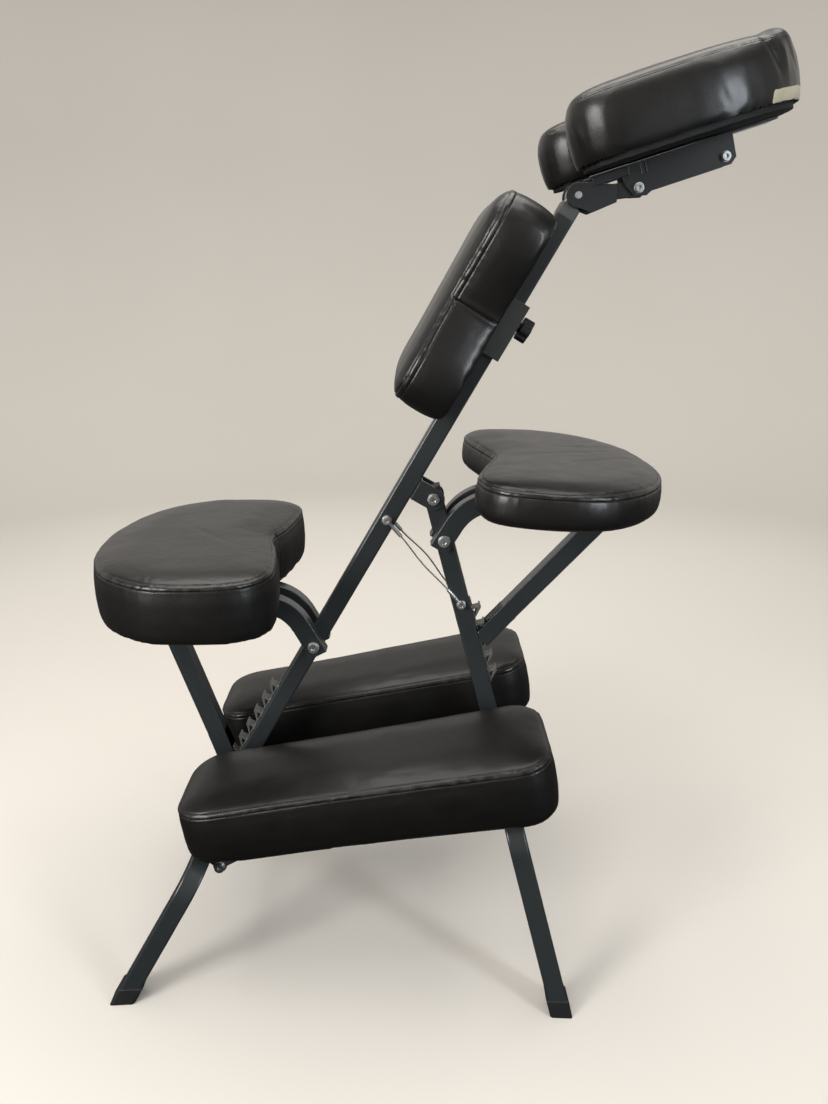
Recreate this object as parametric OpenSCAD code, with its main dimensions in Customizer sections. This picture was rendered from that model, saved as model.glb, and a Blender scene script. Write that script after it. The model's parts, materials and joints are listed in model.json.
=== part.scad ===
// Folding massage chair: two crossed square-tube frames on a hinge bolt, with a seat,
// two knee pads, an armrest, a sliding chest pad and a tilting face cradle.
// +X runs from the seat to the face cradle, -Y is the near side, +Z is up, floor at Z = 0.

/* [Frame] */
// Distance of the front feet from the middle of the footprint
post_foot_x = -388; // [-460:1:-340]
// Angle of the main post from the floor
post_angle = 60; // [56:1:64]
// Length of the main post's line from the floor to its top
post_top = 1113; // [1060:1:1160]
// Angle of the rear post from the floor
strut_angle = 75.4; // [72:0.2:79]
// Distance of the frame hinge along the main post
hinge_along = 742; // [700:1:780]
// Distance of the frame hinge behind the main post's axis
hinge_behind = 38.7; // [36:0.1:46]
// Width of the square frame tubes
tube = 24; // [22:0.5:30]
// Wall of the frame tubes
tube_wall = 1.6; // [1.2:0.1:3]
// Corner radius of the frame tubes
tube_corner = 3; // [1:0.5:5]
// Inner-to-centre radius of the leg bends
bend_radius = 45; // [36:1:60]

/* [Legs] */
// Height of the front cross member along the post
front_cross = 199; // [190:1:225]
// Sideways place of the front feet
front_foot_half = 205; // [190:1:250]
// Splay of the front legs
front_splay = 7; // [4:1:12]
// Height of the rear cross member along the rear post
rear_cross = 251; // [236:1:262]
// Sideways place of the rear feet
rear_foot_half = 225; // [205:1:270]
// Splay of the rear legs
rear_splay = 11; // [6:0.5:14]
// Height of the foot caps
foot_cap_h = 22; // [8:1:30]
// Wall of the foot caps
foot_cap_wall = 1.6; // [1:0.1:3]
// Sole of the foot caps
foot_sole = 4; // [2:0.5:8]

/* [Racks] */
// Place of the seat rack's lowest hook along the main post
seat_rack_first = 251; // [245:1:262]
// Number of hooks in the seat rack
seat_rack_count = 7; // [5:1:8]
// Place of the armrest rack's highest hook below the frame hinge
arm_rack_first = 163; // [160:1:185]
// Number of hooks in the armrest rack
arm_rack_count = 5; // [4:1:5]
// Hook of the armrest rack that holds the strut, from the top
arm_rack_used = 3; // [2:1:4]
// Pitch of the hooks
hook_pitch = 24.3; // [22:0.1:28]
// Width of the hooks
hook_width = 14; // [10:0.5:15]
// Reach of the hooks from the tube's face
hook_depth = 13; // [12.5:0.5:16]
// Strip thickness of the hooks
hook_strip = 2.5; // [2:0.1:3]
// Height of the hooks' raised lips
hook_lip = 2.5; // [1:0.5:5]
// Drop of the hooks' slanted legs
hook_drop = 13; // [10:0.5:15]

/* [Seat] */
// Place of the seat pivot along the main post
seat_pivot_along = 486; // [460:1:510]
// Height of the seat's underside above its pivot
seat_rise = 75; // [70:1:95]
// Gap from the seat pivot to the seat's lobes
seat_gap = 23; // [16:1:35]
// Length of the seat
seat_length = 251; // [220:1:280]
// Width of the seat
seat_width = 396; // [350:1:460]
// Height of the seat's side up to its seam
seat_side = 71; // [45:1:85]
// Crown of the seat above its seam
seat_crown = 8; // [6:1:24]
// Reach of the seat strut's hinge from the seat pivot
seat_strut_reach = 212; // [195:1:230]

/* [Armrest] */
// Place of the armrest pivot below the frame hinge
arm_pivot_below = 54; // [48:1:66]
// Height of the armrest's underside above its pivot
arm_rise = 68; // [60:1:80]
// Gap from the armrest pivot to the armrest's lobes
arm_gap = 38; // [30:1:52]
// Length of the armrest
arm_length = 228; // [200:1:250]
// Width of the armrest
arm_width = 412; // [360:1:470]
// Height of the armrest's side up to its seam
arm_side = 40; // [30:1:60]
// Crown of the armrest above its seam
arm_crown = 9; // [6:1:22]
// Droop of the armrest away from the post
arm_droop = 3; // [0:0.5:4]
// Reach of the armrest strut's hinge from the armrest pivot
arm_strut_reach = 224; // [205:1:238]

/* [Support arms and struts] */
// Height of the curved arms' section
bow_height = 25.4; // [22:0.2:28]
// Width of the curved arms' section
bow_width = 19; // [16:0.5:22]
// Wall of the curved arms and struts
bow_wall = 1.5; // [1.2:0.1:2.5]
// Angle of the curved arms at their pivot
bow_angle = 62; // [55:1:68]
// Bend radius of the curved arms
bow_radius = 62; // [50:1:68]
// Gap between the curved arms and the post
bow_gap = 0.6; // [0.4:0.1:1.5]
// Depth of the strut section
strut_depth = 25; // [20:0.5:26]
// Width of the strut section
strut_width = 20; // [19:0.5:22]

/* [Knee pads] */
// Length of the knee pads
knee_length = 480; // [430:1:500]
// Width of the knee pads at the face cradle's end
knee_width = 172; // [150:1:184]
// Width that the pads' outer sides lose towards the seat's end
knee_taper = 20; // [0:1:40]
// Sideways place of the knee pads' middle
knee_offset = 134; // [124:1:140]
// Height of the knee pads' side at the seat's end, up to the seam
knee_side_low = 70; // [50:1:80]
// Height of the knee pads' side at the face cradle's end
knee_side_high = 79; // [55:1:95]
// Crown of the knee pads above the seam
knee_crown = 10; // [6:1:22]
// Tilt of the knee pads
knee_tilt = 9.5; // [8.5:0.5:10]
// Corner radius of the knee pads
knee_corner = 48; // [30:1:60]
// Distance of the knee pads' middle from their pivot
knee_ahead = 214.5; // [205:0.5:226]
// Height of the knee pads' underside above their pivot
knee_rise = 44; // [43:0.5:50]

/* [Chest pad] */
// Length of the chest pad
chest_length = 268; // [230:1:300]
// Width of the chest pad
chest_width = 236; // [200:1:280]
// Place of the chest pad's middle along the main post
chest_along = 969; // [930:1:980]
// Height of the chest pad's side up to the seam
chest_side = 59; // [45:1:75]
// Crown of the chest pad above the seam
chest_crown = 14; // [6:1:22]
// Outer width of the sleeve on the post
sleeve_width = 37; // [34:0.5:44]
// Length of the sleeve
sleeve_length = 74; // [60:1:100]
// Diameter of the clamping knob
knob_d = 30; // [26:1:40]
// Thickness of the clamping knob
knob_t = 13; // [8:1:20]

/* [Face cradle] */
// Place of the cradle's arm pivot along the main post
cradle_pivot_along = 1140; // [1136:1:1150]
// Width of the square cradle stem
stem_width = 18; // [15:0.5:20]
// Length of the cradle arms between their bolts
cradle_arm = 69.8; // [60:0.1:85]
// Angle of the cradle arms from level
cradle_arm_angle = 6.4; // [0:0.1:12]
// Tilt of the face cradle from level
cradle_tilt = 17; // [10:0.5:24]
// Distance between the cradle's two bolts
cradle_bolt_gap = 102; // [86:1:112]
// Outer width of the crescent cushion
face_width = 296; // [270:1:320]
// Length of the crescent cushion
face_length = 276; // [250:1:310]
// Width of the face hole
face_hole = 104; // [90:1:120]
// Height of the crescent's side up to the seam
face_side = 58; // [45:1:75]
// Crown of the crescent above the seam
face_crown = 10; // [6:1:20]
// Reach of the crescent's open ends behind the cradle's first bolt
face_back = 86; // [76:1:96]

/* [Boards and fasteners] */
// Thickness of the plywood boards
board_t = 12; // [9:0.5:15]
// Thickness of the chest and cradle boards
thin_board_t = 9; // [6:0.5:12]
// Distance of the boards' edges inside the cushions' sides
board_inset = 9; // [6:0.5:14]
// Diameter of the pivot bolts
bolt_d = 8; // [6:0.5:10]
// Diameter of the bolts of the cables and the cradle
small_bolt_d = 6; // [5:0.5:8]
// Diameter of the stay cables
cable_d = 2.2; // [1.6:0.1:3]
// Thickness of the sheet steel parts
sheet_t = 4; // [3:0.1:5]

/* [Hidden] */
$fn = 48;

fit = 0.1;             // radial room of a pin in its hole
soft_gap = 0.3;        // room round a soft or turning piece
over = 1;              // overrun of a cut
half_tube = tube / 2;
tube_bore = tube - 2 * tube_wall;
bore_corner = tube_corner - tube_wall / 2;
reach = 4 * rear_foot_half;    // size of the half space above the floor
hex_faces = 6;
near = -1;
far = 1;

// Places in the chair's middle plane, as [x, z]
function turned(p, a) = [p[0] * cos(a) - p[1] * sin(a), p[0] * sin(a) + p[1] * cos(a)];
function post_point(along, front) =
    [post_foot_x, 0] + turned([along, front], post_angle);
hinge = post_point(hinge_along, -hinge_behind);
function strut_point(below, behind) = hinge + turned([below, behind], -strut_angle);
rear_run = hinge[1] / sin(strut_angle);
seat_pivot = post_point(seat_pivot_along, 0);
arm_pivot = strut_point(arm_pivot_below, 0);
cradle_pivot = post_point(cradle_pivot_along, 0);
cradle_bolt = cradle_pivot + turned([cradle_arm, 0], cradle_arm_angle);

// Frames that ride on the posts: x along the post, z out of its face
module on_post(along = 0, front = 0) {
    translate([post_foot_x, 0, 0]) rotate([0, -post_angle, 0]) translate([along, 0, front])
        children();
}
module on_strut(below = 0, behind = 0) {
    translate([hinge[0], 0, hinge[1]]) rotate([0, strut_angle, 0]) translate([below, 0, behind])
        children();
}
module on_strut_foot() {
    foot = strut_point(rear_run, 0);
    translate([foot[0], 0, foot[1]]) rotate([0, strut_angle - 180, 0]) children();
}
module at(p) {
    translate([p[0], 0, p[1]]) children();
}
module both_sides() {
    children();
    mirror([0, 1, 0]) children();
}
// Draws a profile given as [x, z] and gives it a width across the chair
module across(width) {
    rotate([90, 0, 0]) linear_extrude(width, center = true) children();
}
// Cylinder across the chair
module pin(d, length) {
    rotate([90, 0, 0]) cylinder(d = d, h = length, center = true);
}

// Square section with round corners
module section(w, h, r) {
    square([w - 2 * r, h], center = true);
    square([w, h - 2 * r], center = true);
    for (x = [-1, 1], y = [-1, 1]) translate([x * (w / 2 - r), y * (h / 2 - r)]) circle(r = r);
}
module ring_section(w, h, wall, r) {
    difference() {
        section(w, h, r);
        section(w - 2 * wall, h - 2 * wall, r - wall / 2);
    }
}
// Tube along x
module straight_tube(length, w, h, wall, r) {
    rotate([90, 0, 90]) linear_extrude(length) ring_section(w, h, wall, r);
}

// Bolt across the chair: socket head on the near side, washer and nut on the far side
washer_share = 0.16;
head_d_share = 1.65;
head_h_share = 0.55;
nut_share = 1.7;
socket_share = 0.7;
module cross_bolt(d, grip) {
    washer = washer_share * d;
    pin(d, grip);
    for (side = [near, far]) translate([0, side * (grip + washer) / 2, 0])
        pin(d * 2, washer);
    translate([0, near * (grip / 2 + washer), 0]) rotate([90, 0, 0]) difference() {
        cylinder(d = head_d_share * d, h = head_h_share * d);
        translate([0, 0, head_h_share * d / 2])
            cylinder(d = socket_share * d, h = head_h_share * d, $fn = hex_faces);
    }
    translate([0, grip / 2 + washer, 0]) rotate([-90, 0, 0]) {
        cylinder(d = nut_share * d, h = head_h_share * d, $fn = hex_faces);
        cylinder(d = d, h = socket_share * d);
    }
}

// One side of a leg frame: half the cross member, the bend and the splayed leg
module leg_side(cross, foot_half, splay, w) {
    corner_y = foot_half - cross * tan(splay);
    turn = 90 - splay;
    tangent = bend_radius * tan(turn / 2);
    bend = [cross - bend_radius, corner_y - tangent, 0];
    leg = cross / cos(splay) + tube;
    translate([cross, 0, 0]) rotate([-90, 0, 0]) linear_extrude(bend[1]) section(w, w, tube_corner);
    translate(bend) rotate_extrude(angle = turn)
        translate([bend_radius, 0]) section(w, w, tube_corner);
    translate(bend + bend_radius * [cos(turn), sin(turn), 0]) rotate([0, 0, 180 - splay])
        rotate([90, 0, 90]) linear_extrude(leg) section(w, w, tube_corner);
}
module slab(low, high) {
    translate([-reach / 2, -reach / 2, low]) cube([reach, reach, high - low]);
}
leg_top = rear_cross + tube;

// Main frame
module main_post() {
    low = front_cross + half_tube;
    color("darkslategray") on_post() difference() {
        translate([low, 0, 0]) straight_tube(post_top - low, tube, tube, tube_wall, tube_corner);
        translate([seat_pivot_along, 0, 0]) pin(bolt_d + 2 * fit, 2 * tube);
        translate([cable_along, 0, 0]) pin(small_bolt_d + 2 * fit, 2 * tube);
    }
}
module front_legs() {
    color("darkslategray") difference() {
        on_post() both_sides() leg_side(front_cross, front_foot_half, front_splay, tube);
        on_post() both_sides()
            leg_side(front_cross, front_foot_half, front_splay, tube - 2 * tube_wall);
        slab(-reach / 2, foot_sole);
    }
}
module front_foot_caps() {
    color("black") intersection() {
        difference() {
            on_post() both_sides()
                leg_side(front_cross, front_foot_half, front_splay, tube + 2 * foot_cap_wall);
            difference() {
                on_post() both_sides() leg_side(front_cross, front_foot_half, front_splay, tube);
                slab(-reach / 2, foot_sole);
            }
        }
        slab(0, foot_cap_h);
    }
}
module hinge_bracket() {
    ear_gap = soft_gap;
    ear_w = 1.2 * tube;
    ear_end = ear_w / 2;
    face = half_tube + sheet_t / 2;
    color("darkslategray") on_post(hinge_along) {
        translate([-ear_w / 2, -half_tube - ear_gap - sheet_t, -face])
            cube([ear_w, tube + 2 * (ear_gap + sheet_t), sheet_t / 2]);
        for (side = [near, far])
            translate([0, side * (half_tube + ear_gap + sheet_t / 2), 0]) across(sheet_t)
                difference() {
                    union() {
                        translate([-ear_w / 2, -hinge_behind])
                            square([ear_w, hinge_behind - half_tube]);
                        translate([0, -hinge_behind]) circle(r = ear_end);
                    }
                    translate([0, -hinge_behind]) circle(d = bolt_d + 2 * fit);
                }
    }
}
module hinge_bolt() {
    color("silver") at(hinge) cross_bolt(bolt_d, tube + 2 * (soft_gap + sheet_t));
}

// Row of bent hooks on a tube's face; x up the tube, z out of its face
hook_back = 0.8 * hook_strip;
module hook_rack(tops) {
    face = half_tube + hook_back;
    tip = half_tube + hook_depth;
    low = min(tops) - hook_drop - 2 * hook_strip;
    high = max(tops) + hook_drop;
    translate([low, -hook_width / 2, half_tube]) cube([high - low, hook_width, hook_back]);
    for (top = tops) translate([top, 0, 0]) across(hook_width) difference() {
        polygon([[0, face], [0, tip - hook_strip], [hook_lip, tip - hook_strip], [hook_lip, tip],
            [-hook_strip, tip], [-hook_drop - hook_strip, face]]);
        polygon([[-hook_strip, face], [-hook_strip, tip - 2 * hook_strip],
            [hook_strip / 2 - hook_drop, face]]);
    }
}
module seat_rack() {
    color("dimgray") on_post()
        hook_rack([for (i = [0 : seat_rack_count - 1]) seat_rack_first + i * hook_pitch]);
}
module armrest_rack() {
    color("dimgray") on_strut() rotate([0, 0, 180])
        hook_rack([for (i = [0 : arm_rack_count - 1]) -arm_rack_first - i * hook_pitch]);
}
module seat_pivot_bolt() {
    color("silver") at(seat_pivot) cross_bolt(bolt_d, tube + 2 * (bow_gap + bow_width + fit));
}
module armrest_pivot_bolt() {
    color("silver") at(arm_pivot) cross_bolt(bolt_d, tube + 2 * (bow_gap + bow_width + fit));
}

// Steel stay cables between the two posts
cable_along = 687;
cable_below = 152;
eye_t = 2.5;
eye_d = 13;
ferrule_d = 5;
ferrule_l = 22;
cable_top = post_point(cable_along, 0);
cable_low = strut_point(cable_below, 0);
cable_span = norm(cable_low - cable_top);
cable_dir = (cable_low - cable_top) / cable_span;
cable_angle = atan2(cable_dir[1], cable_dir[0]);
cable_y = half_tube + soft_gap + ferrule_d / 2;
cable_run = cable_span - 2 * (eye_d / 2 + ferrule_l);
near_bow_share = -0.06;    // bow of each cable as a part of its run
far_bow_share = 0.09;
cable_rings = 24;
cable_sides = 8;
module cable_ends() {
    for (side = [near, far]) translate([0, side * cable_y, 0]) {
        difference() {
            pin(eye_d, eye_t);
            pin(small_bolt_d + 2 * fit, 2 * eye_t);
        }
        translate([eye_d / 2 - eye_t / 2, 0, 0]) rotate([0, 90, 0])
            cylinder(d = ferrule_d, h = ferrule_l + eye_t / 2);
    }
    cross_bolt(small_bolt_d, 2 * cable_y + eye_t + 2 * fit);
}
module upper_cable_ends() {
    color("silver") at(cable_top) rotate([0, -cable_angle, 0]) cable_ends();
}
module lower_cable_ends() {
    color("silver") at(cable_low) rotate([0, 180 - cable_angle, 0]) cable_ends();
}
function bow(t, share) = share * cable_run * sin(180 * t) * sin(180 * t);
module cable(share) {
    points = [for (i = [0 : cable_rings], k = [0 : cable_sides - 1])
        let (t = i / cable_rings, a = 360 * k / cable_sides)
        [t * cable_run, cable_d / 2 * cos(a), bow(t, share) + cable_d / 2 * sin(a)]];
    faces = concat(
        [[for (k = [0 : cable_sides - 1]) k]],
        [for (i = [0 : cable_rings - 1], k = [0 : cable_sides - 1])
            let (a = i * cable_sides, n = (k + 1) % cable_sides)
            [a + k, a + cable_sides + k, a + cable_sides + n, a + n]],
        [[for (k = [cable_sides - 1 : -1 : 0]) cable_rings * cable_sides + k]]);
    polyhedron(points, faces);
}
module stay_cables() {
    start = eye_d / 2 + ferrule_l;
    color("silver") at(cable_top) rotate([0, -cable_angle, 0]) {
        translate([start, near * cable_y, 0]) cable(near_bow_share);
        translate([start, far * cable_y, 0]) cable(far_bow_share);
    }
}

// Rear frame
module rear_post() {
    color("darkslategray") on_strut() difference() {
        translate([-rear_post_head, 0, 0])
            straight_tube(rear_run - rear_cross - half_tube + rear_post_head,
                tube, tube, tube_wall, tube_corner);
        pin(bolt_d + 2 * fit, 2 * tube);
        translate([arm_pivot_below, 0, 0]) pin(bolt_d + 2 * fit, 2 * tube);
        translate([cable_below, 0, 0]) pin(small_bolt_d + 2 * fit, 2 * tube);
    }
}
rear_post_head = 13;
plug_flange = 2;
module rear_post_plug() {
    color("black") on_strut() {
        translate([-rear_post_head - plug_flange, 0, 0]) rotate([90, 0, 90])
            linear_extrude(plug_flange) section(tube, tube, tube_corner);
        translate([-rear_post_head, 0, 0]) rotate([90, 0, 90])
            linear_extrude(rear_post_head - bolt_d) section(tube_bore, tube_bore, bore_corner);
    }
}
module rear_legs() {
    color("darkslategray") difference() {
        on_strut_foot() both_sides() leg_side(rear_cross, rear_foot_half, rear_splay, tube);
        on_strut_foot() both_sides()
            leg_side(rear_cross, rear_foot_half, rear_splay, tube - 2 * tube_wall);
        slab(-reach / 2, foot_sole);
    }
}
module rear_foot_caps() {
    color("black") intersection() {
        difference() {
            on_strut_foot() both_sides()
                leg_side(rear_cross, rear_foot_half, rear_splay, tube + 2 * foot_cap_wall);
            difference() {
                on_strut_foot() both_sides() leg_side(rear_cross, rear_foot_half, rear_splay, tube);
                slab(-reach / 2, foot_sole);
            }
        }
        slab(0, foot_cap_h);
    }
}

// Curved arm in the plane [x, z], from its pivot up and towards -x
bow_over = 14;
bow_steps = 20;
function bow_outline(rise, run, w, cut) =
    let (first = (rise - bow_radius * (1 - cos(bow_angle))) / sin(bow_angle),
        across_first = turned([w / 2, 0], 90 - bow_angle),
        start = turned([cut - bow_over, 0], 180 - bow_angle),
        corner = turned([first, 0], 180 - bow_angle),
        centre = corner + turned([bow_radius, 0], 270 - bow_angle))
    concat([start + across_first],
        arc(centre, bow_radius + w / 2, 90 - bow_angle, 90, bow_steps),
        [[cut - run, rise + w / 2], [cut - run, rise - w / 2]],
        arc(centre, bow_radius - w / 2, 90, 90 - bow_angle, bow_steps),
        [start - across_first]);
module bow_arms(rise, hinge_reach) {
    run = hinge_reach + bow_over;
    difference() {
        for (side = [near, far])
            translate([0, side * (half_tube + bow_gap + bow_width / 2), 0]) difference() {
                across(bow_width) polygon(bow_outline(rise, run, bow_height, 0));
                across(bow_width - 2 * bow_wall)
                    polygon(bow_outline(rise, run, bow_height - 2 * bow_wall, bow_wall));
            }
        pin(bolt_d + 2 * fit, 4 * tube);
        translate([-hinge_reach, 0, rise]) pin(bolt_d + 2 * fit, 4 * tube);
    }
}
seat_bow_rise = seat_rise - bow_height / 2;
arm_bow_rise = arm_rise - bow_height / 2;
seat_strut_top = seat_pivot + [-seat_strut_reach, seat_bow_rise];
arm_strut_top = arm_pivot + turned([arm_strut_reach, arm_bow_rise], -arm_droop);

// Strut from its hinge under a board to a cross pin that rests on a rack hook. Its end is
// mitred to clear the face of the post, which the child stands for.
rest_pin_d = 7;
rest_pin_out = half_tube + (hook_depth - hook_strip + hook_back) / 2;
seat_pin = post_point(seat_rack_first + rest_pin_d / 2 + fit, rest_pin_out);
arm_pin = strut_point(arm_rack_first + (arm_rack_used - 1) * hook_pitch - rest_pin_d / 2 - fit,
    rest_pin_out);
fork_length = 2.2 * strut_depth;
strut_end = 6;
module support_strut(top, low) {
    span = norm(low - top);
    direction = atan2(low[1] - top[1], low[0] - top[0]);
    inner = strut_width - 2 * bow_wall;
    head = strut_depth / 2;
    at(top) rotate([0, -direction, 0]) {
        difference() {
            translate([0, -strut_width / 2, -strut_depth / 2])
                cube([span + strut_end, strut_width, strut_depth]);
            translate([head, -inner / 2, bow_wall - strut_depth / 2])
                cube([span, inner, strut_depth - 2 * bow_wall]);
            translate([span + strut_end - fork_length, -inner / 2, -strut_depth])
                cube([2 * fork_length, inner, 2 * strut_depth]);
            pin(bolt_d + 2 * fit, 2 * strut_width);
            rotate([0, direction, 0]) at(-top) children();
        }
        difference() {
            pin(strut_depth, strut_width);
            pin(bolt_d + 2 * fit, 2 * strut_width);
        }
        translate([span, 0, 0]) pin(rest_pin_d, strut_width);
    }
}
module post_room() {
    room = half_tube + 2 * soft_gap;
    translate([0, -room, -tube]) cube([post_top, 2 * room, tube + room]);
}

// Plans of the padded pieces, as shares of their length and half width
seat_shares = [[-1, 0], [-0.985, 0.27], [-0.93, 0.53], [-0.81, 0.79], [-0.60, 0.97], [-0.42, 1],
    [-0.23, 0.985], [-0.09, 0.90], [-0.02, 0.74], [-0.03, 0.48], [-0.06, 0.22], [-0.10, 0]];
arm_shares = [[-1, 0], [-0.985, 0.27], [-0.93, 0.5], [-0.81, 0.73], [-0.63, 0.91], [-0.42, 0.98],
    [-0.20, 0.97], [-0.03, 0.90], [0.045, 0.76], [0.05, 0.56], [-0.015, 0.26], [-0.07, 0]];
chest_shares = [[-0.5, 0], [-0.5, 0.48], [-0.475, 0.82], [-0.40, 0.98], [-0.26, 1], [-0.12, 0.91],
    [0, 0.84], [0.12, 0.89], [0.26, 0.98], [0.39, 0.98], [0.475, 0.82], [0.5, 0.48], [0.5, 0]];
function closed(half) = concat(
    [for (i = [len(half) - 1 : -1 : 0]) half[i]],
    [for (i = [1 : len(half) - 2]) [half[i][0], -half[i][1]]]);
function scaled(points, x, y) = [for (p = points) [p[0] * x, p[1] * y]];
function curve(a, b, c, d, t) =
    (2 * b + (c - a) * t + (2 * a - 5 * b + 4 * c - d) * t * t
        + (3 * b - a - 3 * c + d) * t * t * t) / 2;
function smooth(p, steps) = [for (i = [0 : len(p) - 1], j = [0 : steps - 1])
    let (n = len(p))
    curve(p[(i + n - 1) % n], p[i], p[(i + 1) % n], p[(i + 2) % n], j / steps)];
function unit(v) = v / norm(v);
function inset(p, d) = [for (i = [0 : len(p) - 1])
    let (n = len(p), t = unit(p[(i + 1) % n] - p[(i + n - 1) % n]))
    p[i] + d * [-t[1], t[0]]];
function arc(centre, r, a0, a1, steps) =
    [for (i = [0 : steps]) let (a = a0 + (a1 - a0) * i / steps) centre + r * [cos(a), sin(a)]];
plan_steps = 3;
seat_plan = smooth(scaled(closed(seat_shares), seat_length, seat_width / 2), plan_steps);
arm_plan = smooth(scaled(closed(arm_shares), arm_length, arm_width / 2), plan_steps);
chest_plan = smooth(scaled(closed(chest_shares), chest_length, chest_width / 2), plan_steps);
// Knee pads have round corners and sides drawn in at mid length
corner_steps = 6;
side_steps = 5;
knee_pull = 2.5;
knee_x = knee_length / 2 - knee_corner;
knee_y = knee_width / 2 - knee_corner;
function pulled_side(s) = [for (i = [1 : side_steps - 1])
    let (t = 2 * i / side_steps - 1)
    [s * -knee_x * t, s * (knee_width / 2 - knee_pull * (1 - t * t))]];
// Draws the outer side in towards the seat's end
function tapered(points) = [for (p = points)
    let (share = (1 - 2 * p[0] / knee_length) / 2)
    [p[0], p[1] - max(0, p[1]) * share * knee_taper / (knee_width / 2)]];
knee_plan = tapered(concat(
    arc([knee_x, knee_y], knee_corner, 0, 90, corner_steps), pulled_side(1),
    arc([-knee_x, knee_y], knee_corner, 90, 180, corner_steps),
    arc([-knee_x, -knee_y], knee_corner, 180, 270, corner_steps), pulled_side(-1),
    arc([knee_x, -knee_y], knee_corner, 270, 360, corner_steps)));
// Crescent: outer half circle, two round ends, inner half circle
face_r = face_width / 2;
end_r = (face_r - face_hole / 2) / 2;
face_middle = face_length - face_back - face_r;
end_x = end_r - face_back;
end_y = face_hole / 2 + end_r;
face_plan = concat(
    arc([face_middle, 0], face_r, -90, 90, 20),
    arc([end_x, end_y], end_r, 90, 270, 9),
    arc([face_middle, 0], face_hole / 2, 90, -90, 12),
    arc([end_x, -end_y], end_r, 90, 270, 9));

// Cushion: rings from the board's pocket round the drawn-in side and over the crown; the
// side may rise along x by a slope
side_draw = 4;
crown_run = 30;
side_shares = [[0.9, 0], [0.3, 0.12], [0, 0.4], [0.12, 0.74], [0.65, 0.96], [0.45, 1]];
crown_shares = [[0.1, 0.32], [0.28, 0.64], [0.56, 0.88], [1, 1]];
module cushion(plan, side, crown, pocket, rise = 0) {
    rings = concat(
        [[board_inset - soft_gap, pocket, 0], [board_inset - soft_gap, 0, 0]],
        [for (s = side_shares) [s[0] * side_draw, s[1] * side, s[1] * rise]],
        [for (c = crown_shares) [side_draw / 2 + c[0] * crown_run, side + c[1] * crown, rise]]);
    n = len(plan);
    points = [for (r = rings) for (p = inset(plan, r[0])) [p[0], p[1], r[1] + r[2] * p[0]]];
    last = (len(rings) - 1) * n;
    faces = concat(
        [[for (i = [0 : n - 1]) i]],
        [for (k = [0 : len(rings) - 2], i = [0 : n - 1])
            let (a = k * n, j = (i + 1) % n)
            [a + i, a + n + i, a + n + j, a + j]],
        [[for (i = [n - 1 : -1 : 0]) last + i]]);
    polyhedron(points, faces);
}
module board(plan, t) {
    linear_extrude(t) polygon(inset(plan, board_inset));
}

// Seat
module on_seat() {
    at(seat_pivot + [-seat_gap, seat_rise]) children();
}
module seat_arms() {
    color("darkslategray") at(seat_pivot) bow_arms(seat_bow_rise, seat_strut_reach);
}
module seat_strut_hinge_bolt() {
    color("silver") at(seat_strut_top) cross_bolt(bolt_d, tube + 2 * (bow_gap + bow_width + fit));
}
module seat_board() {
    color("burlywood") on_seat() board(seat_plan, board_t);
}
module seat_cushion() {
    color("#2a2422") on_seat() cushion(seat_plan, seat_side, seat_crown, board_t + soft_gap);
}
module seat_strut() {
    color("darkslategray") support_strut(seat_strut_top, seat_pin)
        on_post() post_room();
}

// Armrest, the seat's mirror image on the rear post
module on_armrest() {
    at(arm_pivot) rotate([0, arm_droop, 0]) children();
}
module armrest_arms() {
    color("darkslategray") on_armrest() mirror([1, 0, 0]) bow_arms(arm_bow_rise, arm_strut_reach);
}
module armrest_strut_hinge_bolt() {
    color("silver") at(arm_strut_top) cross_bolt(bolt_d, tube + 2 * (bow_gap + bow_width + fit));
}
module armrest_board() {
    color("burlywood") on_armrest() translate([arm_gap, 0, arm_rise]) rotate([0, 0, 180])
        board(arm_plan, board_t);
}
module armrest_cushion() {
    color("#2a2422") on_armrest() translate([arm_gap, 0, arm_rise]) rotate([0, 0, 180])
        cushion(arm_plan, arm_side, arm_crown, board_t + soft_gap);
}
module armrest_strut() {
    color("darkslategray") support_strut(arm_strut_top, arm_pin)
        on_strut() post_room();
}

// Knee pads: hinged on lugs behind the front cross member, resting on the rear one
lug_below = 4;
lug_behind = 28;
lug_t = 8;
lug_r = 9;
knee_pivot = post_point(front_cross - lug_below, -lug_behind);
bracket_from = 50;
bracket_to = 115;
bracket_w = 50;
plate_high = 125;    // angles round the pivot where the plate's edges start
plate_low = -60;
rest_side = 36;
module knee_lugs() {
    color("darkslategray") on_post(front_cross) both_sides() translate([0, knee_offset, 0])
        across(lug_t) difference() {
            union() {
                polygon([[half_tube - tube_corner, -half_tube], [tube_corner - half_tube, -half_tube],
                    [-lug_below - lug_r, -lug_behind], [-lug_below, -lug_behind - lug_r],
                    [lug_r - lug_below, -lug_behind]]);
                translate([-lug_below, -lug_behind]) circle(r = lug_r);
            }
            translate([-lug_below, -lug_behind]) circle(d = bolt_d + 2 * fit);
        }
}
module knee_pivot_bolts() {
    color("silver") at(knee_pivot) for (side = [near, far]) translate([0, side * knee_offset, 0])
        cross_bolt(bolt_d, lug_t + 2 * (soft_gap + sheet_t + fit));
}
module on_knee(side) {
    at(knee_pivot) rotate([0, -knee_tilt, 0]) translate([0, side * knee_offset, 0])
        mirror([0, (1 - side) / 2, 0]) children();
}
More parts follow.
